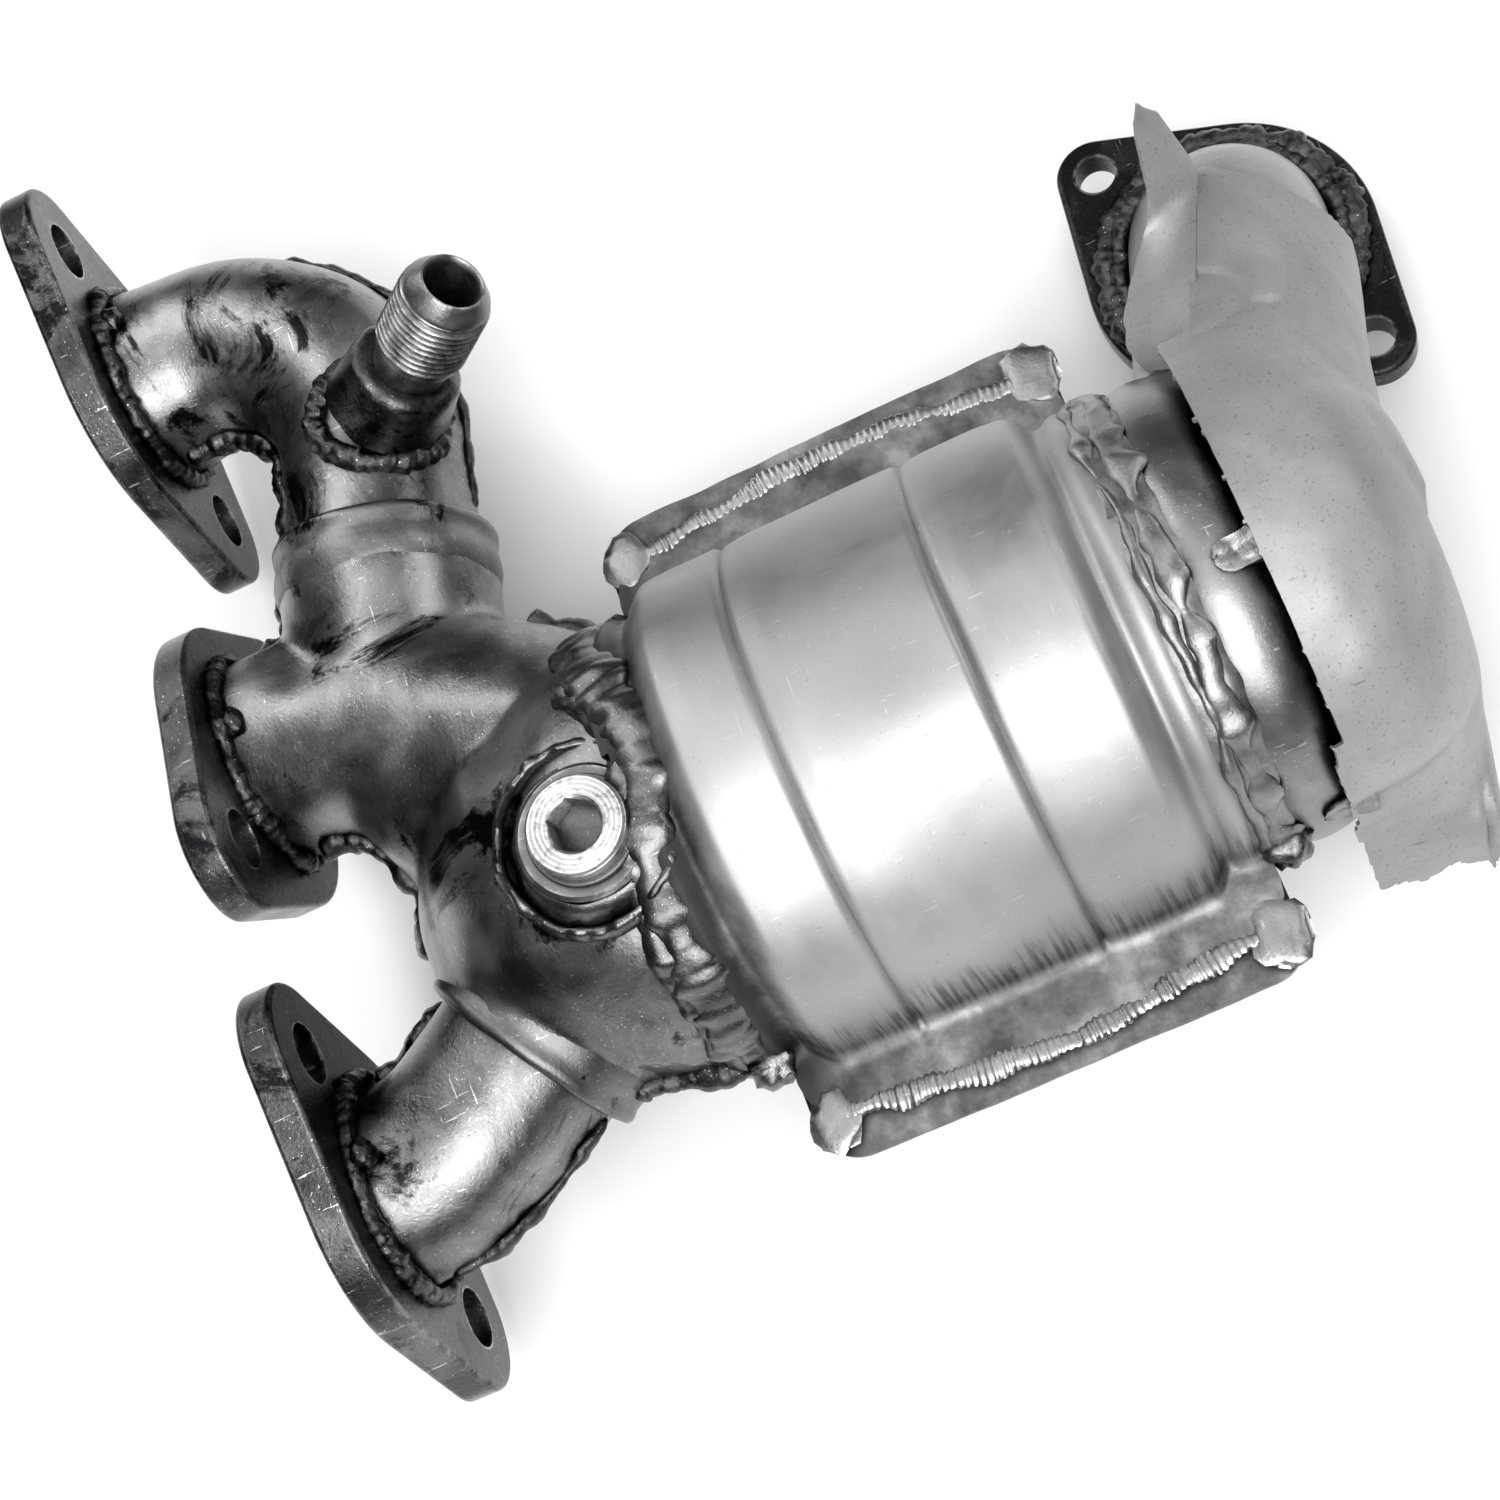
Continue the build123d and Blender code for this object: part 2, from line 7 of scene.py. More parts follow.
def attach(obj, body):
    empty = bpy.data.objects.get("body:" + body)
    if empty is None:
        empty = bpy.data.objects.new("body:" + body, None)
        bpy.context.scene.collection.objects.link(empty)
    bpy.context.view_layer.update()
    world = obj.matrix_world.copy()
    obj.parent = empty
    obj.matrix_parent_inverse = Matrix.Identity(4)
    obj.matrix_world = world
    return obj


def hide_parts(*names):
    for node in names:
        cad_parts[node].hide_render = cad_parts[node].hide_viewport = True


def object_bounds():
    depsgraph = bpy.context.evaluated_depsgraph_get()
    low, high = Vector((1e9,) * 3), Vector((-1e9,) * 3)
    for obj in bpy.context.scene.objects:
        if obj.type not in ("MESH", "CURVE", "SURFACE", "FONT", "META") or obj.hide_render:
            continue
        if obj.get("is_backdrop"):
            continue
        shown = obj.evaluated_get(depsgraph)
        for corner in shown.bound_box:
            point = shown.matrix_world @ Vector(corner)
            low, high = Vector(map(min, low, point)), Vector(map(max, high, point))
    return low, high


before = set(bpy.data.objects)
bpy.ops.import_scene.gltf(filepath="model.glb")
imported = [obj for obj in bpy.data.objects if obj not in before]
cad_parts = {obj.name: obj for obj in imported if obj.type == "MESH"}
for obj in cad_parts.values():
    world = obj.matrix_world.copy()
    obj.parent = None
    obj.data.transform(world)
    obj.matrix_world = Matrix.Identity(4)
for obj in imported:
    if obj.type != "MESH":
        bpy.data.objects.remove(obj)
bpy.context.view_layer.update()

MM = 0.001

bl_info = {
    "name": "Exhaust manifold pieces",
    "version": (1, 0, 0),
    "blender": (4, 5, 0),
    "location": "View3D > Sidebar > Manifold",
    "description": "Builds the stampings, welds, shield and fitting of an exhaust manifold with its converter",
    "category": "Object",
}

# ---------------------------------------------------------------- places, in millimetres

PORT_X = (98.0, 0.0, -98.0)
FLANGE_BACK_Y = -8.0
TUBE_R = 20.6
END_R = 22.0
WALL = 1.8
HOUSING_WALL = 1.6
SHIELD_WALL = 0.9
CONVERTER_Z_MAX = 52.98
CONV_X = -57.0
NECK_R = 47.8
BARREL_R = 53.0
OUTLET = Vector((30.0, -240.0, -33.0))
BUNG = Vector((-62.0, -79.5, 46.0))
FITTING_MOUTH = Vector((56.0, -93.0, 50.0))
FITTING_LEAN = math.radians(42.5)
FITTING_OUT = Vector((0.0, -math.sin(FITTING_LEAN), math.cos(FITTING_LEAN)))
Z_UP = Vector((0.0, 0.0, 1.0))


# ---------------------------------------------------------------- small helpers

def deselect():
    bpy.ops.object.select_all(action="DESELECT")


def activate(obj):
    deselect()
    obj.select_set(True)
    bpy.context.view_layer.objects.active = obj


def smoothstep(low, high, x):
    t = min(max((x - low) / (high - low), 0.0), 1.0)
    return t * t * (3 - 2 * t)


def bell(x, centre, width):
    return math.exp(-((x - centre) / width) ** 2)


def wobble(point, size, seed=0.0):
    """Smooth noise from -1 to 1 at a point in millimetres, for a given feature size."""
    return noise.noise(Vector(point) / size + Vector((seed, 2.7 * seed, -1.3 * seed)))


def skin(name, rows, ring=False, loop=False, caps=False):
    """A grid laid over rows of points. ring closes each row, loop joins the last row to the first
    and caps fills both ends."""
    if ring:
        rows = [row + row[:1] for row in rows]
    if loop:
        rows = rows + rows[:1]
    deselect()
    bpy.ops.mesh.primitive_grid_add(x_subdivisions=len(rows[0]) - 1, y_subdivisions=len(rows) - 1, size=MM)
    obj = bpy.context.object
    obj.name = name
    flat = [coordinate * MM for row in rows for point in row for coordinate in point]
    obj.data.vertices.foreach_set("co", flat)
    if ring or loop:
        bpy.ops.object.mode_set(mode="EDIT")
        bpy.ops.mesh.select_all(action="SELECT")
        bpy.ops.mesh.remove_doubles(threshold=0.000001)
        if caps:
            bpy.ops.mesh.fill_holes(sides=0)
        bpy.ops.object.mode_set(mode="OBJECT")
    return obj


def lathe(name, profile, segments, closed=False):
    """A turned body about local Z: a circle extruded and resized through (radius, height)."""
    deselect()
    radius, height = profile[0]
    bpy.ops.mesh.primitive_circle_add(vertices=segments, radius=radius * MM, location=(0, 0, 0))
    obj = bpy.context.object
    obj.name = name
    bpy.ops.object.mode_set(mode="EDIT")
    bpy.ops.mesh.select_mode(type="VERT")
    bpy.ops.mesh.select_all(action="SELECT")
    bpy.ops.transform.translate(value=(0, 0, height * MM))
    for next_radius, next_height in profile[1:]:
        bpy.ops.mesh.extrude_region_move(TRANSFORM_OT_translate={"value": (0, 0, (next_height - height) * MM)})
        scale = next_radius / radius
        bpy.ops.transform.resize(value=(scale, scale, 1), center_override=(0, 0, next_height * MM))
        radius, height = next_radius, next_height
    bpy.ops.mesh.select_all(action="DESELECT")
    bpy.ops.mesh.select_mode(type="EDGE")
    bpy.ops.mesh.select_non_manifold()
    if closed:
        bpy.ops.mesh.bridge_edge_loops()
    else:
        bpy.ops.mesh.fill_holes(sides=0)
    bpy.ops.mesh.select_all(action="SELECT")
    bpy.ops.mesh.normals_make_consistent(inside=False)
    bpy.ops.object.mode_set(mode="OBJECT")
    return obj


def stand(obj, point, axis):
    """Move a turned body so that its local Z runs along an axis from a point."""
    turn = Vector(axis).to_track_quat("Z", "Y").to_matrix().to_4x4()
    obj.data.transform(Matrix.Translation(Vector(point) * MM) @ turn)
    return obj


def cast(names, origin, direction):
    """The nearest point, in millimetres, where a ray meets one of the named pieces."""
    best = None
    origin = Vector(origin)
    for name in names:
        hit, place, _, _ = bpy.data.objects[name].ray_cast(origin * MM, Vector(direction))
        if hit and (best is None or (place / MM - origin).length < (best - origin).length):
            best = place / MM
    return best


def apply_modifier(obj, kind, **values):
    activate(obj)
    mod = obj.modifiers.new(kind.lower(), kind)
    for key, value in values.items():
        setattr(mod, key, value)
    bpy.ops.object.modifier_apply(modifier=mod.name)


def outward(obj):
    activate(obj)
    bpy.ops.object.mode_set(mode="EDIT")
    bpy.ops.mesh.select_all(action="SELECT")
    bpy.ops.mesh.remove_doubles(threshold=0.00002)
    bpy.ops.mesh.normals_make_consistent(inside=False)
    bpy.ops.object.mode_set(mode="OBJECT")


def cut(obj, point, normal, inner=False, outer=False):
    """Bisect a mesh by a plane in millimetres and clear one side of it."""
    activate(obj)
    bpy.ops.object.mode_set(mode="EDIT")
    bpy.ops.mesh.select_all(action="SELECT")
    bpy.ops.mesh.bisect(plane_co=Vector(point) * MM, plane_no=Vector(normal), clear_inner=inner, clear_outer=outer)
    bpy.ops.object.mode_set(mode="OBJECT")


def keep_faces(obj, test):
    """Delete the faces whose middle, in millimetres, fails a test."""
    activate(obj)
    bpy.ops.object.mode_set(mode="EDIT")
    bpy.ops.mesh.select_mode(type="FACE")
    bpy.ops.mesh.select_all(action="DESELECT")
    bpy.ops.object.mode_set(mode="OBJECT")
    for face in obj.data.polygons:
        face.select = not test(face.center / MM)
    bpy.ops.object.mode_set(mode="EDIT")
    bpy.ops.mesh.delete(type="FACE")
    bpy.ops.object.mode_set(mode="OBJECT")


def join(objects, name):
    activate(objects[0])
    for obj in objects:
        obj.select_set(True)
    bpy.ops.object.join()
    objects[0].name = name
    return objects[0]


def halves(whole, stem, wall, finish):
    """Cut a closed body at its seam into an upper and a lower stamping."""
    for half, top in (("top", True), ("bottom", False)):
        obj = copy_of(whole, f"{stem}_{half}_stamping")
        cut(obj, (0, 0, 0), (0, 0, 1), inner=top, outer=not top)
        apply_modifier(obj, "SOLIDIFY", thickness=wall * MM, offset=-1.0)
        finish_piece(obj, finish, nodes=[f"{stem}_{half}"])
    bpy.data.objects.remove(whole)


def copy_of(obj, name):
    twin = obj.copy()
    twin.data = obj.data.copy()
    twin.name = name
    bpy.context.scene.collection.objects.link(twin)
    return twin


def move_points(obj, shift):
    """Move every vertex by a function of its place, both in millimetres."""
    for vertex in obj.data.vertices:
        p = vertex.co / MM
        vertex.co = (p + shift(p)) * MM


def finish_piece(obj, finish, body="manifold", angle=50, nodes=()):
    """Shade a piece, give it its finish and body, and hide the CAD nodes that it stands for."""
    activate(obj)
    bpy.ops.object.shade_smooth_by_angle(angle=math.radians(angle))
    obj.data.materials.clear()
    obj.data.materials.append(finish_named(finish))
    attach(obj, body)
    if nodes:
        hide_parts(*nodes)
    return obj


# ---------------------------------------------------------------- paths

def bend_path(start, straight, radius, degrees, run_out, step=2.5):
    """Points and headings from a port: straight towards -Y, a bend in plan, and a straight."""
    side = 1 if degrees > 0 else -1
    x, y = start
    path = []
    count = max(int(straight / step), 1)
    for k in range(count):
        path.append((Vector((x, y - straight * k / count, 0)), Vector((0, -1, 0))))
    y -= straight
    count = max(int(abs(math.radians(degrees)) * radius / step), 4)
    centre = Vector((x + side * radius, y, 0))
    for k in range(count + 1):
        b = math.radians(-90 + degrees * k / count)
        heading = Vector((math.cos(b), math.sin(b), 0))
        path.append((centre + side * radius * Vector((heading.y, -heading.x, 0)), heading))
    point, heading = path[-1]
    count = max(int(run_out / step), 2)
    for k in range(1, count + 1):
        path.append((point + heading * (run_out * k / count), heading))
    return path


def upper_path(extra=0.0):
    return bend_path((PORT_X[0], -4.0), 16.0, 34.0, -102.0, 24.0 + extra)


def lower_path(extra=0.0):
    return bend_path((PORT_X[2], -4.0), 6.0, 38.0, 33.0, 17.0 + extra)


def lengths(points):
    total = [0.0]
    for a, b in zip(points, points[1:]):
        total.append(total[-1] + (b - a).length)
    return total


def resample(points, step, loop=False):
    """Even points along a smooth curve through some points."""
    if loop:
        points = points + [points[0]]
    fine = []
    last = len(points) - 1
    for i in range(last):
        if loop:
            p0, p3 = points[(i - 1) % last], points[(i + 2) % last]
        else:
            p0, p3 = points[max(i - 1, 0)], points[min(i + 2, last)]
        p1, p2 = points[i], points[i + 1]
        for k in range(12):
            t = k / 12
            fine.append(0.5 * (2 * p1 + (p2 - p0) * t + (2 * p0 - 5 * p1 + 4 * p2 - p3) * t * t
                               + (3 * p1 - p0 - 3 * p2 + p3) * t * t * t))
    fine.append(points[-1])
    total = lengths(fine)
    count = max(int(total[-1] / step), 2)
    out = []
    j = 0
    for k in range(count + (0 if loop else 1)):
        s = total[-1] * k / count
        while j < len(total) - 2 and total[j + 1] < s:
            j += 1
        span = max(total[j + 1] - total[j], 1e-9)
        out.append(fine[j].lerp(fine[j + 1], (s - total[j]) / span))
    return out


# ---------------------------------------------------------------- weld beads

def bead(name, points, normal_at, width, height, pitch, seed, loop=False, rag=0.18, ripple=0.12, step=0.6,
         sides=12, lump=2.2):
    """A rippled rope of weld along some points, flattened against the surface below it."""
    path = resample([Vector(p) for p in points], step, loop)
    count = len(path)
    rows = []
    s = 0.0
    for i, point in enumerate(path):
        before = path[i - 1] if (loop or i > 0) else path[i]
        after = path[(i + 1) % count] if (loop or i < count - 1) else path[i]
        along = (after - before).normalized()
        normal = normal_at(point)
        normal = (normal - along * normal.dot(along)).normalized()
        across = along.cross(normal)
        s += step
        phase = (s / pitch + 0.25 * wobble(point, 9.0, seed)) % 1.0
        wave = 1.0 - ripple * (1.0 - math.sin(math.pi * phase) ** 0.6)
        swell = 1.0 + rag * 1.6 * wobble(point, 7.0, seed + 3.1)
        end = 1.0
        if not loop:
            end = min(1.0, (i + 0.35) / 3.0, (count - i - 0.65) / 3.0) ** 0.5
        row = []
        for k in range(sides):
            a = 2 * math.pi * k / sides
            around = across * (0.5 * width * math.cos(a)) + normal * (3 * math.sin(a))
            rough = 1.0 + rag * wobble(point + around, lump, seed)
            w = 0.5 * width * math.cos(a) * wave * swell * rough * end
            h = height * math.sin(a) * (wave * swell * rough if math.sin(a) > 0 else 0.6) * end
            drift = across * (rag * 1.5 * wobble(point, 11.0, seed + 7.7))
            row.append(point + drift + across * w + normal * h)
        rows.append(row)
    obj = skin(name, rows, ring=True, loop=loop, caps=not loop)
    outward(obj)
    return obj


def ring_points(centre, axis, radius, count=24, start=0.0, sweep=360.0, offset=None):
    """Points on a circle or arc about an axis, with an optional shift along it by angle."""
    axis = Vector(axis).normalized()
    side = axis.orthogonal().normalized() if abs(axis.z) > 0.99 else Z_UP.cross(axis).normalized()
    up = axis.cross(side)
    closed = abs(sweep) >= 360
    out = []
    for k in range(count if closed else count + 1):
        a = math.radians(start + sweep * k / count)
        p = Vector(centre) + side * (radius * math.cos(a)) + up * (radius * math.sin(a))
        if offset:
            p += axis * offset(math.degrees(a))
        out.append(p)
    return out


def from_axis(centre, axis):
    """Outward direction from a line, for beads that lie round a tube."""
    centre, axis = Vector(centre), Vector(axis).normalized()

    def normal(point):
        d = point - centre
        return (d - axis * d.dot(axis)).normalized()

    return normal


def blob(name, point, normal, radius, height, seed, lumps=0.25):
    """A lumpy tack of weld metal."""
    deselect()
    bpy.ops.mesh.primitive_uv_sphere_add(segments=18, ring_count=10, radius=MM, location=(0, 0, 0))
    obj = bpy.context.object
    obj.name = name
    turn = Vector(normal).to_track_quat("Z", "Y").to_matrix()
    for vertex in obj.data.vertices:
        p = vertex.co / MM
        rough = 1.0 + lumps * wobble(p * 3.0, 1.6, seed)
        p = Vector((p.x * radius, p.y * radius * 0.85, p.z * height)) * rough
        vertex.co = (Vector(point) + turn @ p) * MM
    return obj


# ---------------------------------------------------------------- materials

def feed(tree, socket, value):
    """Link an output into a socket, or set the socket's constant."""
    if hasattr(value, "is_output"):
        tree.links.new(value, socket)
    else:
        socket.default_value = value


def node(tree, kind, sockets=None, **options):
    """A shader node laid on a plain grid, with its options and what its inputs are fed."""
    made = tree.nodes.new(kind)
    column, row = divmod(len(tree.nodes), 6)
    made.location = (300 * column - 2400, 900 - 300 * row)
    for key, value in options.items():
        setattr(made, key, value)
    for key, value in (sockets or {}).items():
        feed(tree, made.inputs[key], value)
    return made


def grey(tone):
    """Four channels from a grey level or a colour."""
    return (*tone, 1.0) if isinstance(tone, tuple) else (tone, tone, tone, 1.0)


def object_mapping(tree, scale=(1, 1, 1), centre=(0, 0, 0)):
    where = node(tree, "ShaderNodeTexCoord").outputs["Object"]
    location = tuple(-c * s for c, s in zip(centre, scale))
    sockets = {"Vector": where, "Location": location, "Scale": scale}
    return node(tree, "ShaderNodeMapping", sockets).outputs["Vector"]


def noise_texture(tree, vector, scale, detail, roughness=0.55, distortion=0.0):
    sockets = {"Vector": vector, "Scale": scale, "Detail": detail, "Roughness": roughness, "Distortion": distortion}
    return node(tree, "ShaderNodeTexNoise", sockets).outputs["Fac"]


def ramp(tree, value, stops):
    """Turn a value into a tone by (position, tone) stops."""
    made = node(tree, "ShaderNodeValToRGB", {"Fac": value})
    elements = made.color_ramp.elements
    while len(elements) < len(stops):
        elements.new(0.5)
    for element, (position, tone) in zip(elements, stops):
        element.position = position
        element.color = grey(tone)
    return made.outputs["Color"]


def mix(tree, factor, first, second, mode="MIX"):
    """Mix two colours, each an output, a grey level or a colour."""
    first, second = (side if hasattr(side, "is_output") else grey(side) for side in (first, second))
    made = node(tree, "ShaderNodeMix", {0: factor, 6: first, 7: second}, data_type="RGBA", blend_type=mode)
    return made.outputs[2]


def times(tree, first, second):
    return mix(tree, 1.0, first, second, "MULTIPLY")


def bump_chain(tree, heights):
    """Stack bumps from (height, strength, distance) and return the last normal."""
    normal = None
    for height, strength, distance in heights:
        sockets = {"Height": height, "Strength": strength, "Distance": distance}
        if normal:
            sockets["Normal"] = normal
        normal = node(tree, "ShaderNodeBump", sockets).outputs["Normal"]
    return normal


def new_material(name):
    material = bpy.data.materials.new(name)
    material.use_nodes = True
    return material, material.node_tree


def surface(material, base, rough, metallic, heights=()):
    """Feed a colour, a roughness and stacked bumps to the material's shader."""
    tree = material.node_tree
    sockets = tree.nodes["Principled BSDF"].inputs
    for key, value in (("Base Color", base), ("Roughness", rough), ("Metallic", metallic)):
        feed(tree, sockets[key], value)
    if heights:
        feed(tree, sockets["Normal"], bump_chain(tree, heights))
    return material


def painted_crevice_shade(tree, base, reach, depth):
    """Darken a colour where surfaces meet and shade falls in the corners: painted shade from ambient occlusion."""
    shade = node(tree, "ShaderNodeAmbientOcclusion", {"Distance": reach * MM}, samples=4)
    return times(tree, base, ramp(tree, shade.outputs["AO"], [(0.35, 1.0 - depth), (0.85, 1.0)]))


def rubbed_edges_and_painted_highlights(tree, base, width, tone):
    """Lighten a colour along sharp edges: partly metal rubbed bare by handling, partly a painted highlight along them.
    """
    rounded = node(tree, "ShaderNodeBevel", {"Radius": width * MM}, samples=4).outputs["Normal"]
    flat = node(tree, "ShaderNodeNewGeometry").outputs["Normal"]
    dot = node(tree, "ShaderNodeVectorMath", {0: rounded, 1: flat}, operation="DOT_PRODUCT")
    mask = ramp(tree, dot.outputs["Value"], [(0.88, 0.9), (0.99, 0.0)])
    patch = noise_texture(tree, object_mapping(tree), 260.0, 5, 0.7)
    return mix(tree, times(tree, mask, ramp(tree, patch, [(0.42, 0.0), (0.56, 1.0)])), base, tone)


PIT_SCALE = 1300.0
SPECK_SCALE = 2300.0
SCRATCH_WAYS = ((70, 1500, 1500), (1500, 110, 900))
BARE = (0.85, 0.85, 0.86)
SCRATCHED = (0.75, 0.75, 0.76)
OIL = (0.012, 0.012, 0.013)
GRIME = (0.05, 0.05, 0.052)


def worn_steel(name, dark, light, rough, mottle, speckle, soot, grain, scratch,
               dent=0.0, crevice_shade=(7.0, 0.7), edge=None, extra=None):
    """Heat-stained steel: cloudy stain, fine pits, scratches, bright specks and sooty places, with painted shade in
    corners.
    soot is (scale, threshold) of dark oily patches, dent the height of broad hammering,
    the crevice pair (reach, depth) of the painted shade in corners and edge the tone of rubbed edges, which is partly a
    painted highlight."""
    material, tree = new_material(name)
    plain = object_mapping(tree)
    cloud = noise_texture(tree, plain, mottle, 7, 0.64, 0.6)
    base = ramp(tree, cloud, [(0.30, dark), (0.50, (dark + light) / 2), (0.72, light)])
    broad = noise_texture(tree, plain, 14.0, 3, 0.5)
    base = times(tree, base, ramp(tree, broad, [(0.3, 0.72), (0.7, 1.12)]))
    fine = noise_texture(tree, plain, PIT_SCALE, 4, 0.7)
    base = mix(tree, ramp(tree, fine, [(0.28, 0.0), (0.34, 1.0)]), dark * 0.35, base)
    spots = noise_texture(tree, plain, SPECK_SCALE, 1, 0.5)
    base = mix(tree, ramp(tree, spots, [(0.74, 0.0), (0.77, speckle)]), base, BARE)
    for way in SCRATCH_WAYS:
        lines = noise_texture(tree, object_mapping(tree, way), 1.0, 2, 0.6)
        base = mix(tree, ramp(tree, lines, [(0.70, 0.0), (0.73, scratch)]), base, SCRATCHED)
    rough_map = ramp(tree, cloud, [(0.3, rough * 0.75), (0.7, rough * 1.3)])
    if extra:
        base = extra(tree, plain, base)
    if soot:
        scale, threshold = soot
        patch = noise_texture(tree, plain, scale, 8, 0.72, 0.8)
        mask = ramp(tree, patch, [(threshold, 0.0), (threshold + 0.05, 1.0)])
        base = mix(tree, mask, base, OIL)
        rough_map = mix(tree, mask, rough_map, 0.14)
    # edges lightened: partly rubbed bare metal, partly a painted highlight
    if edge:
        base = rubbed_edges_and_painted_highlights(tree, base, 1.2, edge)
    # painted shade: darker where surfaces meet, from ambient occlusion
    base = painted_crevice_shade(tree, base, *crevice_shade)
    heights = [(fine, grain, 0.0003), (cloud, 0.10, 0.001)]
    if dent:
        heights.append((noise_texture(tree, plain, 42.0, 2, 0.4), 0.5, dent * MM * 4))
    return surface(material, base, rough_map, 1.0, heights)


def between(tree, value, low, high):
    """0 at low and 1 at high in millimetres, for a value in metres."""
    sockets = {"Value": value, "From Min": low * MM, "From Max": high * MM}
    return node(tree, "ShaderNodeMapRange", sockets, interpolation_type="SMOOTHSTEP").outputs["Result"]


def split(tree, vector):
    return node(tree, "ShaderNodeSeparateXYZ", {0: vector}).outputs


def ragged(tree, value, uneven, reach):
    """A value in metres with a noise times a reach added to it."""
    return node(tree, "ShaderNodeMath", {0: uneven, 1: reach, 2: value}, operation="MULTIPLY_ADD").outputs[0]


def painted_shadow_under_shield(tree, plain, base):
    """A painted shadow on the housing: a near-black band where the edge of the shield hangs over it."""
    line = ragged(tree, split(tree, plain)["Y"], noise_texture(tree, plain, 90.0, 4, 0.6), 0.003)
    mask = times(tree, between(tree, line, -208.2, -211.6), between(tree, line, -228.0, -216.0))
    # painted shadow: near black just under the shield's edge
    return mix(tree, mask, base, 0.006)


def seam_marks(tree, plain, base):
    """Fine hatching on the shells just above their rims, stains on the rims and grime on the neck."""
    place = split(tree, plain)
    height = node(tree, "ShaderNodeMath", {0: place["Z"]}, operation="ABSOLUTE").outputs[0]
    lines = noise_texture(tree, object_mapping(tree, (40, 1150, 40)), 1.0, 2, 0.5)
    uneven = noise_texture(tree, object_mapping(tree, (1, 3, 1)), 60.0, 3, 0.6)
    low = between(tree, ragged(tree, height, uneven, -0.022), 7.5, -3.0)
    mask = times(tree, ramp(tree, lines, [(0.44, 0.0), (0.60, 1.0)]), low)
    mask = times(tree, mask, between(tree, height, 2.0, 4.5))
    stain = noise_texture(tree, plain, 85.0, 6, 0.65)
    rim_tone = ramp(tree, stain, [(0.34, 0.07), (0.52, 0.17), (0.66, 0.32)])
    base = mix(tree, between(tree, height, 3.2, 2.2), base, rim_tone)
    base = mix(tree, mix(tree, 0.62, 0.0, mask), base, GRIME)
    neck = ragged(tree, place["Y"], stain, 0.012)
    return mix(tree, between(tree, neck, -97.0, -88.5), base, GRIME)


def turned_steel(name, centre, light=0.72):
    """Bright steel with the fine rings that a lathe leaves about an upright axis."""
    material, tree = new_material(name)
    where = object_mapping(tree, centre=centre)
    sockets = {"Vector": where, "Scale": 320.0, "Distortion": 0.6, "Detail": 3.0}
    wave = node(tree, "ShaderNodeTexWave", sockets, wave_type="RINGS", rings_direction="Z").outputs["Fac"]
    fine = noise_texture(tree, where, 700.0, 4, 0.6)
    base = ramp(tree, wave, [(0.0, light * 0.62), (1.0, light)])
    base = mix(tree, 0.6, base, ramp(tree, fine, [(0.36, 0.25), (0.5, 1.0)]), "MULTIPLY")
    # painted shade: darker where surfaces meet, from ambient occlusion
    base = painted_crevice_shade(tree, base, 5.0, 0.62)
    return surface(material, base, 0.36, 1.0, [(wave, 0.35, 0.0002), (fine, 0.15, 0.0002)])


def shield_sheet(name, light):
    """Matte aluminised sheet with soft stains, rub marks and fine pitting."""
    material, tree = new_material(name)
    plain = object_mapping(tree)
    cloud = noise_texture(tree, plain, 32.0, 7, 0.6, 0.7)
    base = ramp(tree, cloud, [(0.28, light * 0.74), (0.5, light * 0.95), (0.75, light * 1.18)])
    fine = noise_texture(tree, plain, 1200.0, 4, 0.7)
    base = mix(tree, 0.8, base, ramp(tree, fine, [(0.30, 0.35), (0.42, 1.0)]), "MULTIPLY")
    lines = noise_texture(tree, object_mapping(tree, (700, 120, 700)), 1.0, 3, 0.6)
    base = mix(tree, ramp(tree, lines, [(0.68, 0.0), (0.73, 0.5)]), base, light * 0.35)
    # painted shade: darker where surfaces meet, from ambient occlusion
    base = painted_crevice_shade(tree, base, 9.0, 0.55)
    return surface(material, base, 0.5, 0.5, [(fine, 0.2, 0.0002), (cloud, 0.3, 0.0012)])


def honeycomb(name):
    """Pale ceramic with square cells across the flow."""
    material, tree = new_material(name)
    cells = node(tree, "ShaderNodeTexChecker", {"Vector": object_mapping(tree), "Scale": 700.0}).outputs["Fac"]
    base = ramp(tree, cells, [(0.0, (0.30, 0.27, 0.22)), (1.0, (0.66, 0.61, 0.52))])
    return surface(material, base, 0.85, 0.0, [(cells, 0.5, 0.0005)])


def fibre(name):
    """Pale strands, drawn out across the flow."""
    material, tree = new_material(name)
    strands = noise_texture(tree, object_mapping(tree, (300, 900, 300)), 1.0, 6, 0.7, 1.5)
    base = ramp(tree, strands, [(0.3, (0.42, 0.40, 0.36)), (0.7, (0.80, 0.78, 0.72))])
    return surface(material, base, 0.95, 0.0, [(strands, 0.6, 0.001)])
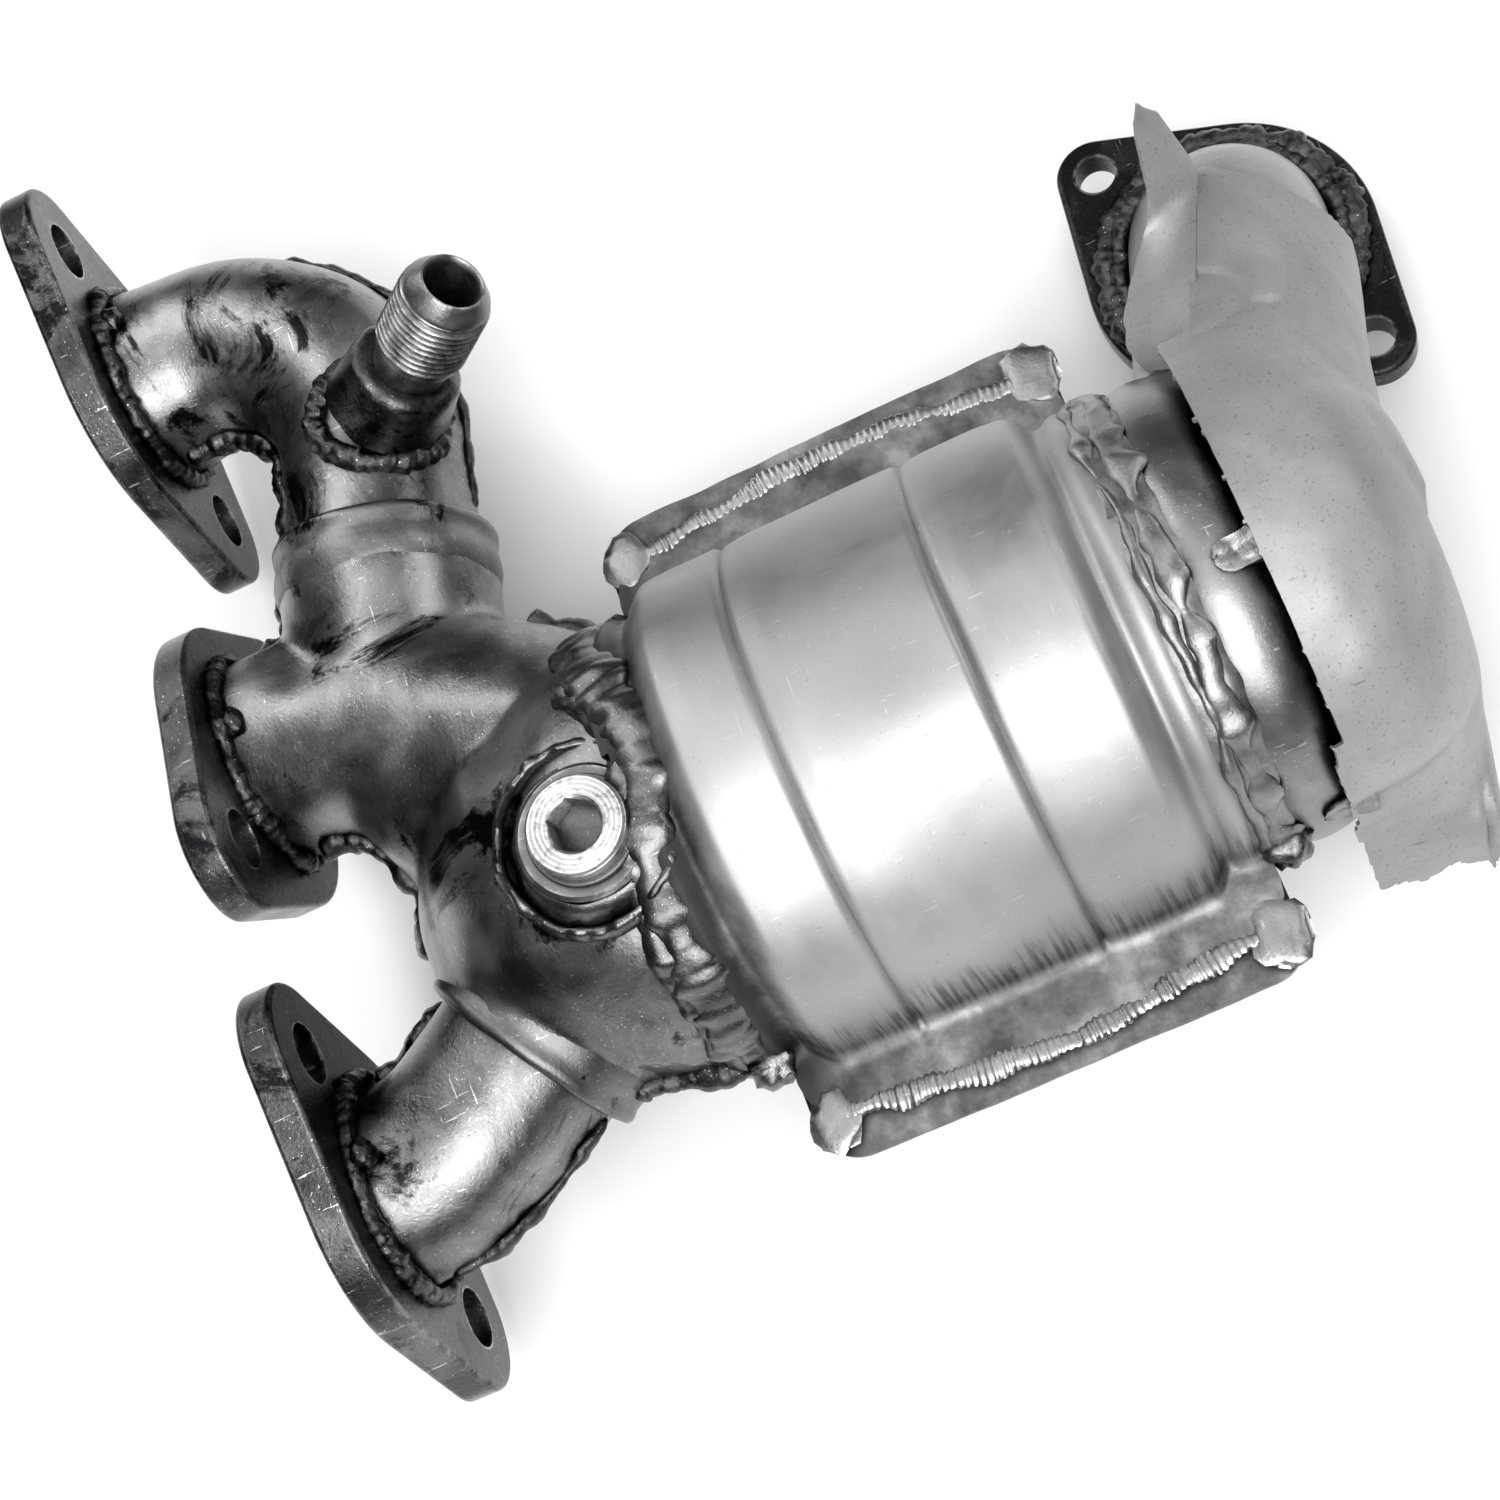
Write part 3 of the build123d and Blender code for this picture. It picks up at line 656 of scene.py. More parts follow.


# finish: (name, dark, light, roughness, mottle, speckle, soot, grain, scratch), other values of worn_steel.
# With a tone, dark and light are shares of that setting.
# The crevice pairs set painted shade where surfaces meet; edge lightens edges, partly as wear and partly as a painted
# highlight; the housing's extra paints a shadow under the shield's edge.
STEELS = {
    "runner_steel": (("runner steel, heat stained", 0.36, 1.3, 0.28, 62.0, 0.8, (30.0, 0.57), 0.3, 0.5),
                     {"tone": "runner_tone", "dent": 0.4, "crevice_shade": (9.0, 0.75)}),
    "collar_steel": (("collar steel, rolled", 0.4, 1.1, 0.38, 48.0, 0.6, (30.0, 0.56), 0.3, 0.5),
                     {"tone": "runner_tone", "dent": 0.4, "crevice_shade": (5.0, 0.8)}),
    "flange_steel": (("flange steel, oily", 0.03, 0.14, 0.26, 80.0, 0.9, (34.0, 0.52), 0.5, 0.5),
                     {"dent": 0.25, "edge": 0.85}),
    "converter_steel": (("converter steel, satin", 0.82, 1.08, 0.53, 20.0, 0.3, (110.0, 0.745), 0.08, 0.3),
                        {"tone": "converter_tone", "dent": 0.12, "crevice_shade": (9.0, 0.75), "extra": seam_marks}),
    "rim_steel": (("rim steel, hatched", 0.16, 0.40, 0.30, 60.0, 0.4, (60.0, 0.66), 0.3, 0.4),
                  {"crevice_shade": (4.0, 0.7), "edge": 0.7}),
    "housing_steel": (("housing steel, grey", 0.13, 0.30, 0.30, 34.0, 0.5, (36.0, 0.70), 0.15, 0.5),
                      {"dent": 0.2, "crevice_shade": (9.0, 0.85), "extra": painted_shadow_under_shield}),
    "tab_steel": (("tab steel, spot welded", 0.12, 0.34, 0.3, 120.0, 0.5, (90.0, 0.6), 0.4, 0.2), {}),
    "liner_steel": (("liner steel, scorched", 0.08, 0.22, 0.4, 60.0, 0.3, (50.0, 0.6), 0.3, 0.3), {}),
    "outlet_steel": (("outlet steel, black", 0.008, 0.035, 0.25, 90.0, 0.35, (40.0, 0.5), 0.5, 0.3),
                     {"dent": 0.3, "edge": 0.3}),
    "fitting_steel": (("fitting steel, turned and stained", 0.08, 0.24, 0.34, 120.0, 0.4, (60.0, 0.66), 0.3, 0.4),
                      {"crevice_shade": (2.5, 0.95), "edge": 0.6}),
    "neck_weld": (("weld metal, stained", 0.05, 0.20, 0.26, 90.0, 0.6, (60.0, 0.66), 0.3, 0.2),
                  {"crevice_shade": (4.0, 0.7)}),
    "outlet_weld": (("weld metal, flaked", 0.14, 0.34, 0.34, 110.0, 0.5, (90.0, 0.66), 0.35, 0.2),
                    {"crevice_shade": (2.0, 0.8)}),
    "weld_steel": (("weld metal", 0.07, 0.30, 0.24, 150.0, 0.7, (80.0, 0.60), 0.5, 0.1), {"crevice_shade": (4.0, 0.85)}),
    "dark_weld": (("weld metal, oily", 0.02, 0.13, 0.18, 150.0, 0.9, (90.0, 0.52), 0.5, 0.1),
                  {"crevice_shade": (4.0, 0.8)}),
    "black_weld": (("weld metal, burnt", 0.02, 0.12, 0.2, 200.0, 0.9, (120.0, 0.56), 0.7, 0.1),
                   {"crevice_shade": (3.0, 0.5)}),
    "washer": (("sealing washer", 0.10, 0.22, 0.4, 200.0, 0.3, None, 0.4, 0.2), {}),
}
OTHER_FINISHES = {
    "plug_steel": lambda: turned_steel("plug steel, turned", (BUNG.x * MM, BUNG.y * MM, 0.0)),
    "shield_sheet": lambda: shield_sheet("shield sheet, aluminised", settings().shield_tone),
    "brick": lambda: honeycomb("brick ceramic"),
    "mat": lambda: fibre("support fibre"),
}
_made = {}


def steel_named(name):
    (label, dark, light, *values), options = STEELS[name]
    tone = getattr(settings(), options["tone"]) if "tone" in options else 1.0
    named = {key: value for key, value in options.items() if key != "tone"}
    return worn_steel(label, tone * dark, tone * light, *values, **named)


def finish_named(name):
    """Each finish is made once and shared by the pieces that have it."""
    if name not in _made:
        _made[name] = steel_named(name) if name in STEELS else OTHER_FINISHES[name]()
    return _made[name]


# ---------------------------------------------------------------- settings

class ManifoldSettings(bpy.types.PropertyGroup):
    runner_tone: bpy.props.FloatProperty(
        name="Runner tone", description="How light the runner steel is",
        default=0.25, min=0.0, max=1.0, subtype="FACTOR")
    converter_tone: bpy.props.FloatProperty(
        name="Converter tone", description="How light the converter steel is",
        default=0.45, min=0.0, max=1.0, subtype="FACTOR")
    shield_tone: bpy.props.FloatProperty(
        name="Shield tone", description="How light the heat shield is",
        default=0.31, min=0.0, max=1.0, subtype="FACTOR")
    weld_height: bpy.props.FloatProperty(
        name="Weld height", description="Height of a plain weld bead", default=0.0018, unit="LENGTH")
    shield_gap: bpy.props.FloatProperty(
        name="Shield gap", description="Air gap under the heat shield", default=0.003, unit="LENGTH")
    floor_drop: bpy.props.FloatProperty(
        name="Floor drop", description="Gap between the part and the floor", default=0.001, unit="LENGTH")


def settings():
    return bpy.context.scene.manifold_settings


# ---------------------------------------------------------------- runners

def elbow(name, port_x, straight, bend_radius, degrees, run_out):
    """A bent tube: a circle extruded from the port, spun round the bend and extruded on."""
    side = 1 if degrees > 0 else -1
    deselect()
    bpy.ops.mesh.primitive_circle_add(
        vertices=72, radius=TUBE_R * MM, location=(port_x * MM, -4.0 * MM, 0), rotation=(math.pi / 2, 0, 0)
    )
    bpy.ops.object.transform_apply()
    obj = bpy.context.object
    obj.name = name
    bpy.ops.object.mode_set(mode="EDIT")
    bpy.ops.mesh.select_mode(type="VERT")
    bpy.ops.mesh.select_all(action="SELECT")
    steps = round(straight / 1.5)
    for _ in range(steps):
        bpy.ops.mesh.extrude_region_move(TRANSFORM_OT_translate={"value": (0, -straight * MM / steps, 0)})
    centre = ((port_x + side * bend_radius) * MM, (-4.0 - straight) * MM, 0)
    bpy.ops.mesh.spin(
        steps=max(round(abs(degrees) / 2.5), 4), angle=math.radians(-degrees), center=centre, axis=(0, 0, 1))
    turned = math.radians(-90 + degrees)
    heading = Vector((math.cos(turned), math.sin(turned), 0))
    steps = round(run_out / 1.5)
    for _ in range(steps):
        bpy.ops.mesh.extrude_region_move(TRANSFORM_OT_translate={"value": heading * (run_out * MM / steps)})
    bpy.ops.mesh.select_all(action="SELECT")
    bpy.ops.mesh.remove_doubles(threshold=0.000002)
    bpy.ops.mesh.normals_make_consistent(inside=False)
    bpy.ops.object.mode_set(mode="OBJECT")
    return obj


def press_elbow(obj, path):
    """Bell both ends, leave small lips along the seam and make the wall a little uneven."""
    line = [p for p, _ in path]
    along = lengths(line)

    def shift(p):
        near = min(range(len(line)), key=lambda i: (line[i] - p).length_squared)
        out = (p - line[near]).normalized()
        t = along[near] / along[-1]
        grow = (END_R - TUBE_R) * max(bell(t, 0.0, 0.12), bell(t, 1.0, 0.12))
        grow += 0.6 * bell(p.z, 0.0, 1.6)
        grow += 0.55 * wobble(p, 17.0, 3.0) * bell(t, 0.5, 0.4)
        return out * grow

    move_points(obj, shift)


class MANIFOLD_OT_elbows(bpy.types.Operator):
    """Stamped halves of the upper and lower elbows"""
    bl_idname = "manifold.elbows"
    bl_label = "Elbows"

    def execute(self, context):
        for stem, run, path in (
            ("upper_elbow", (PORT_X[0], 16.0, 34.0, -102.0, 32.0), upper_path(8.0)),
            ("lower_elbow", (PORT_X[2], 6.0, 38.0, 33.0, 25.0), lower_path(8.0)),
        ):
            whole = elbow(stem + "_tube", *run)
            press_elbow(whole, path)
            halves(whole, stem, WALL, "runner_steel")
        return {"FINISHED"}


# ---------------------------------------------------------------- collector

def limb(stations, step=6.0):
    """Cones and balls along stations of (centre, radius), to be melted into one body."""
    centres = resample([Vector(c) for c, _ in stations], step)
    marks = lengths([Vector(c) for c, _ in stations])
    total = lengths(centres)
    radii = []
    for s in total:
        s = s / total[-1] * marks[-1]
        j = max(k for k in range(len(marks) - 1) if marks[k] <= s + 1e-6)
        t = smoothstep(marks[j], marks[j + 1], s)
        radii.append(stations[j][1] * (1 - t) + stations[j + 1][1] * t)
    parts = []
    for i in range(len(centres) - 1):
        a, b = centres[i], centres[i + 1]
        turn = (b - a).to_track_quat("Z", "Y").to_euler()
        deselect()
        bpy.ops.mesh.primitive_cone_add(vertices=48, radius1=radii[i] * MM, radius2=radii[i + 1] * MM,
                                        depth=(b - a).length * MM, location=(a + b) / 2 * MM, rotation=turn)
        parts.append(bpy.context.object)
        if i:
            bpy.ops.mesh.primitive_uv_sphere_add(segments=48, ring_count=24, radius=radii[i] * MM, location=a * MM,
                                                 rotation=turn)
            parts.append(bpy.context.object)
    return parts


def fuse(objects, name, voxel, smoothing):
    """Melt overlapping closed bodies into one pressed shape with soft valleys."""
    obj = join(objects, name)
    bpy.ops.object.transform_apply()
    apply_modifier(obj, "REMESH", mode="VOXEL", voxel_size=voxel * MM, use_smooth_shade=True)
    apply_modifier(obj, "SMOOTH", factor=0.5, iterations=smoothing)
    return obj


def collector_body():
    up_end, up_heading = upper_path()[-1]
    low_end, low_heading = lower_path()[-1]
    parts = limb([(up_end - up_heading * 2, 24.0), (up_end + up_heading * 8, 24.0), ((0, -43.5, 0), 22.6),
                  ((-22, -49, 0), 23.2), ((-43, -66, 0), 28.0), ((-54, -84, 0), 33.0)])
    parts += limb([((0, -2, 0), 22.2), ((0, -9, 0), 22.4), ((-0.5, -20, 0), 23.0), ((-4, -35, 0), 23.6),
                   ((-13, -52, 0), 26.0), ((-34, -72, 0), 30.0)])
    parts += limb([(low_end - low_heading * 2, 24.0), (low_end + low_heading * 8, 24.0), ((-72, -60, 0), 26.5),
                   ((-63, -76, 0), 33.0), ((-58, -88, 0), 36.0)])
    parts += limb([((CONV_X, -47, 0), 9.0), ((CONV_X, -53, 0), 22.0), ((CONV_X, -64, 0), 33.0),
                   ((CONV_X, -80, 0), 44.6), ((CONV_X, -86, 0), 46.0), ((CONV_X, -98, 0), 46.0)], 4.0)
    obj = fuse(parts, "collector_body", 1.4, 16)
    move_points(obj, collector_press)
    cut(obj, (0, -4.2, 0), (0, 1, 0), outer=True)
    cut(obj, up_end, up_heading, inner=True)
    cut(obj, low_end, low_heading, inner=True)
    cut(obj, (0, -95, 0), (0, 1, 0), inner=True)
    return obj


def collector_press(p):
    """Pressed ridge along the middle runner, a dimple beside it and small unevenness."""
    lift = 2.2 * bell(p.x, -14, 11) * bell(p.y, -34, 16)
    lift += 1.6 * bell(p.x, -20, 7) * bell(p.y, -20, 9)
    lift -= 2.4 * bell(p.x, 8, 8) * bell(p.y, -29, 8)
    lift -= 2.0 * bell(p.x, -33, 8) * bell(p.y, -66, 8)
    side = 1 if p.z > 4 else (-1 if p.z < -4 else p.z / 4)
    uneven = 0.35 * wobble(p, 14.0, 4.0)
    return Vector((0, 0, side * (lift + uneven)))


class MANIFOLD_OT_collector(bpy.types.Operator):
    """Upper and lower stampings of the collector"""
    bl_idname = "manifold.collector"
    bl_label = "Collector"

    def execute(self, context):
        halves(collector_body(), "collector", WALL, "runner_steel")
        for name, path in (("upper_leg_collar", upper_path()), ("lower_leg_collar", lower_path())):
            finish_piece(collar(name, *path[-1]), "collar_steel")
        return {"FINISHED"}


def collar(name, point, heading):
    """The belled end of a collector leg, with a rolled lip and a step behind it."""
    profile = [(22.0, -1.8), (22.9, -2.2), (24.0, -1.8), (24.5, -0.8), (24.4, 0.4), (24.0, 1.6), (24.1, 3.4),
               (24.5, 5.4), (24.7, 7.4), (24.3, 9.4), (23.6, 11.4), (22.4, 13.0)]
    obj = stand(lathe(name, profile, 96, closed=True), point, heading)
    move_points(obj, lambda p: heading * (0.5 * wobble(p, 12.0, 1.0)) + Z_UP * (0.25 * wobble(p, 7.0, 2.0)))
    return obj


# ---------------------------------------------------------------- converter

def barrel_radius(y):
    """Outside radius of the converter shells along their length."""
    d = -y
    r = NECK_R + (BARREL_R - 0.5 - NECK_R) * smoothstep(96.5, 103.5, d) * (1 - smoothstep(180.5, 187.5, d))
    r += 0.5 * smoothstep(100, 108, d) * (1 - smoothstep(174, 182, d))
    r -= 0.5 * smoothstep(118.5, 120.0, d) * (1 - smoothstep(120.0, 126.0, d))
    r -= 0.5 * smoothstep(157.5, 159.0, d) * (1 - smoothstep(159.0, 165.0, d))
    r -= 0.7 * bell(d, 120.0, 0.8) + 0.7 * bell(d, 159.0, 0.8)
    r += 1.2 * bell(d, 190.5, 2.6) - 0.8 * bell(d, 185.8, 1.4) - 0.6 * bell(d, 97.0, 1.5) + 0.8 * bell(d, 92.5, 2.0)
    return r


def rim_width(y, half_width, top):
    """Half width of the flat side rim, with round corners; the top rim narrows towards its ends."""
    front, rear, corner = -93.0, -194.0, 9.0
    if y > front or y < rear:
        return 0.0
    inset = max(corner - (front - y), corner - (y - rear), 0.0)
    width = half_width - corner + math.sqrt(max(corner ** 2 - inset ** 2, 0.0))
    if top:
        middle = (front + rear) / 2
        width -= 5.0 * (1 - bell(y, middle, 34.0))
    return width


def shell_rows(top):
    """Cross-sections of one shell: rim, fillet, half round, fillet and rim."""
    sign = 1 if top else -1
    ys = [-88.0, -89.5, -91.0, -92.4, -92.9, -93.0, -93.5, -94.2, -95.0]
    ys += [-96.0 - 0.75 * k for k in range(129)]
    ys += [-193.4, -194.0, -194.1, -194.8, -195.4, -196.0]
    rows = []
    fillet = 3.6
    for y in sorted(set(ys), reverse=True):
        r = barrel_radius(y)
        half = []
        width = rim_width(y, 68.0 if top else 72.6, top)
        xf = math.sqrt((r + fillet) ** 2 - (WALL + fillet) ** 2)
        meet = math.atan2(WALL + fillet, xf)
        if width < xf + 0.5:
            for k in range(14):
                half.append((r, 0.05 * k))
            first = math.asin(0.05 * 14 / r)
        else:
            for k in range(8):
                half.append((width + (xf - width) * k / 8, WALL))
            for k in range(6):
                a = -math.pi / 2 - (math.pi / 2 - meet) * k / 6
                half.append((xf + fillet * math.cos(a), WALL + fillet + fillet * math.sin(a)))
            first = meet
        for k in range(35):
            a = first + (math.pi / 2 - first) * k / 34
            half.append((r * math.cos(a), r * math.sin(a)))
        full = half + [(-x, z) for x, z in half[:-1][::-1]]
        row = []
        for x, z in full:
            p = Vector((CONV_X + x, y, sign * z))
            edge = smoothstep(60, 72, abs(x))
            p.z += sign * (0.35 * wobble(p, 14.0, 2.0) * edge)
            p.x += 0.35 * edge * wobble(p, 9.0, 5.0)
            p += (p - Vector((CONV_X, y, 0))).normalized() * (0.2 * wobble(p, 18.0, 6.0))
            p.z = min(max(p.z, -CONVERTER_Z_MAX), CONVERTER_Z_MAX)
            row.append(p)
        rows.append(row if top else row[::-1])
    return rows


class MANIFOLD_OT_converter(bpy.types.Operator):
    """Upper and lower shells of the converter, with grooves and side rims"""
    bl_idname = "manifold.converter"
    bl_label = "Converter shells"

    def execute(self, context):
        for top in (True, False):
            half = "top" if top else "bottom"
            obj = skin(f"converter_{half}_stamping", shell_rows(top))
            if top:
                keep_faces(obj, lambda p: (Vector((p.x, p.y)) - BUNG.xy).length > 14.4 or p.z < 10)
            apply_modifier(obj, "SOLIDIFY", thickness=(WALL - 0.1) * MM, offset=-1.0)
            finish_piece(obj, "converter_steel", nodes=[f"converter_{half}"])
        return {"FINISHED"}


# ---------------------------------------------------------------- outlet housing and shield

def housing_profile(swell):
    """Stations of (y, radius) for the round mouth and the blunt end."""
    stations = [(-190.0, 46.0), (-196.5, 46.1), (-198.5, 47.0), (-202.0, 48.3), (-206.0, 48.8), (-210.0, 48.2),
                (-213.0, 47.2)]
    for k in range(1, 9):
        a = math.pi / 2 * k / 8
        stations.append((-213.0 - 30.0 * math.sin(a) ** 0.62, 47.2 * max(math.cos(a), 0.0) ** 0.55 + 0.01))
    return [(y - (swell if k > 6 else 0) * min((k - 6) / 8, 1), r + (swell if r > 1 else 0))
            for k, (y, r) in enumerate(stations)]


DUCT = (((-50, -219, 0), 23.5), ((-26, -224, 0), 22.5), ((-8, -229.5, -1.5), 21.5), ((10, -235.5, -8), 21.5),
        ((24, -239, -19), 21.5), ((30, -240, -31), 21.5), ((30, -240, -38), 21.5))


def housing_bodies(swell, first=0):
    """The round end and the duct behind it, grown by swell."""
    profile = [(r, -y) for y, r in housing_profile(swell)[first:]]
    round_end = stand(lathe("round_end", profile, 96), (CONV_X, 0, 0), (0, -1, 0))
    return [round_end] + limb([(c, r + swell) for c, r in DUCT], 5.0)


class MANIFOLD_OT_outlet_housing(bpy.types.Operator):
    """Upper and lower stampings of the outlet housing and its duct"""
    bl_idname = "manifold.outlet_housing"
    bl_label = "Outlet housing"

    def execute(self, context):
        whole = fuse(housing_bodies(0.0), "housing_body", 1.5, 6)
        cut(whole, (0, -190.5, 0), (0, 1, 0), outer=True)
        cut(whole, (0, 0, -37), (0, 0, 1), inner=False, outer=False)
        keep_faces(whole, lambda p: not (p.x > 0 and p.z < -37))
        halves(whole, "outlet_housing", HOUSING_WALL, "housing_steel")
        return {"FINISHED"}


SHIELD_RAMP = (((-54, -217, 17), 32.0), ((-38, -219.5, 12), 28.5), ((-20, -224.5, 6), 25.0),
               ((-2, -230.5, -2), 23.5))


def crease_y(x):
    """Where the flap's fold runs along the top of the duct."""
    return -222.0 - 0.36 * (x + 14.0)


def shield_kept(p):
    """Where the sheet is left: over the top, trimmed along both edges and at the duct's end."""
    rough = 0.9 * wobble(p, 6.0, 9.0) + 0.4 * wobble(p, 2.5, 3.0)
    hem = -3.0 + rough
    if p.x < -72:
        hem = -21.0 - 3.0 * smoothstep(-222.0, -238.0, p.y) + 2.5 * wobble(p, 5.0, 1.0)
    edge = -213.8 + 0.35 * wobble(p, 9.0, 2.0)
    if p.x < -100:
        edge = -211.0 + rough
    end = 28.5 + 1.1 * min(p.y + 239.0, 0.0) + 0.5 * rough
    on_flap = p.x > -13.0 and p.y > crease_y(p.x) + 1.5
    return p.z > hem and p.y < edge and p.x < end and not on_flap


def shield_shape(p):
    """Flare the skirt, pinch above it, and dent and crease the sheet."""
    move = Vector((0, 0, 0))
    down = smoothstep(4.0, -14.0, p.z) * smoothstep(-68.0, -88.0, p.x)
    flared = -105.0 + 0.55 * min(p.z, 0.0) + 1.6 * wobble(p, 8.0, 4.0)
    move.x += down * min(flared - p.x, 0.0)
    move.y += 7.0 * down * smoothstep(-228.0, -246.0, p.y)
    move.x += 2.4 * bell(p.z, 6.0, 5.0) * smoothstep(-92.0, -100.0, p.x)
    out = Vector((p.x - CONV_X, 0, p.z)).normalized() if p.x < -20 else Vector((0, 0, 1))
    dents = 0.8 * wobble(p, 26.0, 3.0) + 0.3 * wobble(p, 9.0, 8.0)
    ring = math.hypot(p.x + 7.5, p.y + 224.0)
    dimple = 0.9 * bell(ring, 8.5, 1.6) + 0.5 * bell(ring, 0.0, 7.0)
    nick = 1.1 * bell(p.x, -13.0, 1.6) * bell(p.y, -236.5, 2.6)
    move += out * (dents - dimple - nick)
    move.y = max(move.y, -271.2 - p.y)
    return move


FLAP = (
    # (x at the fold, rise at the fold, middle of the row, free edge)
    (-14.0, (-13.0, -218.0, 20.5), (-14.5, -213.4, 17.0)),
    (-8.0, (-7.0, -215.0, 18.5), (-7.5, -210.8, 12.5)),
    (-2.0, (-1.5, -215.5, 18.0), (-0.5, -210.4, 11.0)),
    (4.0, (4.5, -219.0, 18.5), (6.0, -212.6, 10.5)),
    (9.0, (10.0, -222.5, 18.5), (12.5, -217.5, 12.5)),
    (14.0, (14.5, -226.0, 18.5), (17.5, -222.3, 16.5)),
    (19.0, (19.5, -229.0, 19.0), (21.0, -225.2, 20.5)),
    (24.0, (24.0, -231.8, 19.0), (24.5, -226.2, 24.0)),
    (27.0, (27.0, -233.0, 20.5), (27.5, -226.9, 27.5)),
    (29.0, (29.5, -234.0, 24.5), (30.0, -227.9, 31.5)),
    (30.0, (31.0, -233.0, 29.5), (31.6, -228.9, 34.8)),
    (30.6, (32.2, -231.8, 34.0), (32.6, -230.0, 37.6)),
)


def flap(sheet):
    """The bent-up side of the sheet, which ends in a curled point."""
    folds, middles, edges = [], [], []
    for x, middle, edge in FLAP:
        y = crease_y(x)
        top = sheet.ray_cast(Vector((x, y, 90.0)) * MM, Vector((0, 0, -1)))
        z = top[1].z / MM + 0.2 if top[0] else 14.0
        if x > 26:
            y, z = -236.6 + (x - 27) * 0.9, 13.5 + (x - 27.0) * 5.2
        folds.append(Vector((x + (1.4 if x > 26 else 0.0), y, z)))
        middles.append(Vector(middle))
        edges.append(Vector(edge))
    folds, middles, edges = (smooth_line(line, 44) for line in (folds, middles, edges))
    rows = []
    for a, b, c in zip(folds, middles, edges):
        row = []
        for k in range(15):
            t = k / 14
            p = a * (1 - t) ** 2 + b * (2 * t * (1 - t)) + c * t * t
            p += Vector((0, 0.8, -0.8)) * (0.9 * wobble(p, 3.0, 2.0) * smoothstep(0.7, 1.0, t))
            row.append(p + Vector((0, 0, 0.5 * wobble(p, 9.0, 5.0) * smoothstep(0.0, 0.3, t))))
        rows.append(row)
    return skin("flap", rows)


def smooth_line(points, count):
    """A given number of even points along a smooth curve."""
    fine = resample(points, 0.2)
    return [fine[round(k * (len(fine) - 1) / (count - 1))] for k in range(count)]


class MANIFOLD_OT_heat_shield(bpy.types.Operator):
    """Thin dented sheet over the outlet housing and duct"""
    bl_idname = "manifold.heat_shield"
    bl_label = "Heat shield"

    def execute(self, context):
        gap = settings().shield_gap / MM
        bodies = housing_bodies(gap + 0.6, 5) + limb(SHIELD_RAMP)
        obj = fuse(bodies, "heat_shield_sheet", 1.1, 20)
        keep_faces(obj, shield_kept)
        move_points(obj, shield_shape)
        apply_modifier(obj, "SMOOTH", factor=0.5, iterations=2)
        obj = join([obj, flap(obj)], "heat_shield_sheet")
        apply_modifier(obj, "SOLIDIFY", thickness=SHIELD_WALL * MM, offset=0.0)
        finish_piece(obj, "shield_sheet", nodes=["heat_shield"])
        return {"FINISHED"}


class MANIFOLD_OT_shield_tabs(bpy.types.Operator):
    """Spot-welded tabs between the shield and the outlet housing"""
    bl_idname = "manifold.shield_tabs"
    bl_label = "Shield tabs"

    def execute(self, context):
        for name, degrees in (("shield_standoff_upper", 100.0), ("shield_standoff_side", 172.0)):
            rows = []
            for i in range(13):
                y = -206.2 - i * 0.85
                half = 3.3 * max(1 - max(1 - i / 4.0, 0.0) ** 2, 0.03) ** 0.5 + 0.5 * smoothstep(8, 12, i)
                row = []
                for k in range(13):
                    across = (k - 6) / 6
                    a = math.radians(degrees) + across * half / 49.0
                    r = 49.0 + 0.9 * smoothstep(6, 11, i) + 0.5 * wobble((k, i, degrees), 3.0, 1.0)
                    r -= 0.9 * bell(math.hypot(across * half, (i - 5.2) * 0.85), 0.0, 1.3)
                    row.append(Vector((CONV_X + r * math.cos(a), y, r * math.sin(a))))
                rows.append(row)
            obj = skin(name + "_tab", rows)
            apply_modifier(obj, "SOLIDIFY", thickness=1.1 * MM, offset=0.0)
            apply_modifier(obj, "BEVEL", width=0.3 * MM, segments=2)
            outward(obj)
            finish_piece(obj, "tab_steel", nodes=[name])
        return {"FINISHED"}


# ---------------------------------------------------------------- take-off fitting

THREAD_R = 10.0
THREAD_TOP = -4.4
THREAD_PITCH = 1.65
THREAD_TURNS = 10
THREAD_DEPTH = 1.15
AROUND = 48


def turned_row(radius_at, z):
    """One ring of points about local Z, with a radius for each place round it."""
    row = []
    for k in range(AROUND):
        a = 2 * math.pi * k / AROUND
        row.append(Vector((radius_at(k) * math.cos(a), radius_at(k) * math.sin(a), z)))
    return row


def thread_rows():
    """Rings down the thread, whose groove winds round once in a pitch and fades at both ends."""
    steps = THREAD_TURNS * 10
    rows = []
    for i in range(steps + 1):
        z = THREAD_TOP - THREAD_TURNS * THREAD_PITCH * i / steps
        fade = min(1.0, i / 6.0, (steps - i) / 6.0)

        def radius_at(k, z=z, fade=fade):
            phase = ((THREAD_TOP - z) / THREAD_PITCH + k / AROUND) % 1.0
            return THREAD_R - (THREAD_DEPTH * abs(2 * phase - 1) ** 1.2 * fade + 0.8 * (1 - fade))

        rows.append(turned_row(radius_at, z))
    return rows


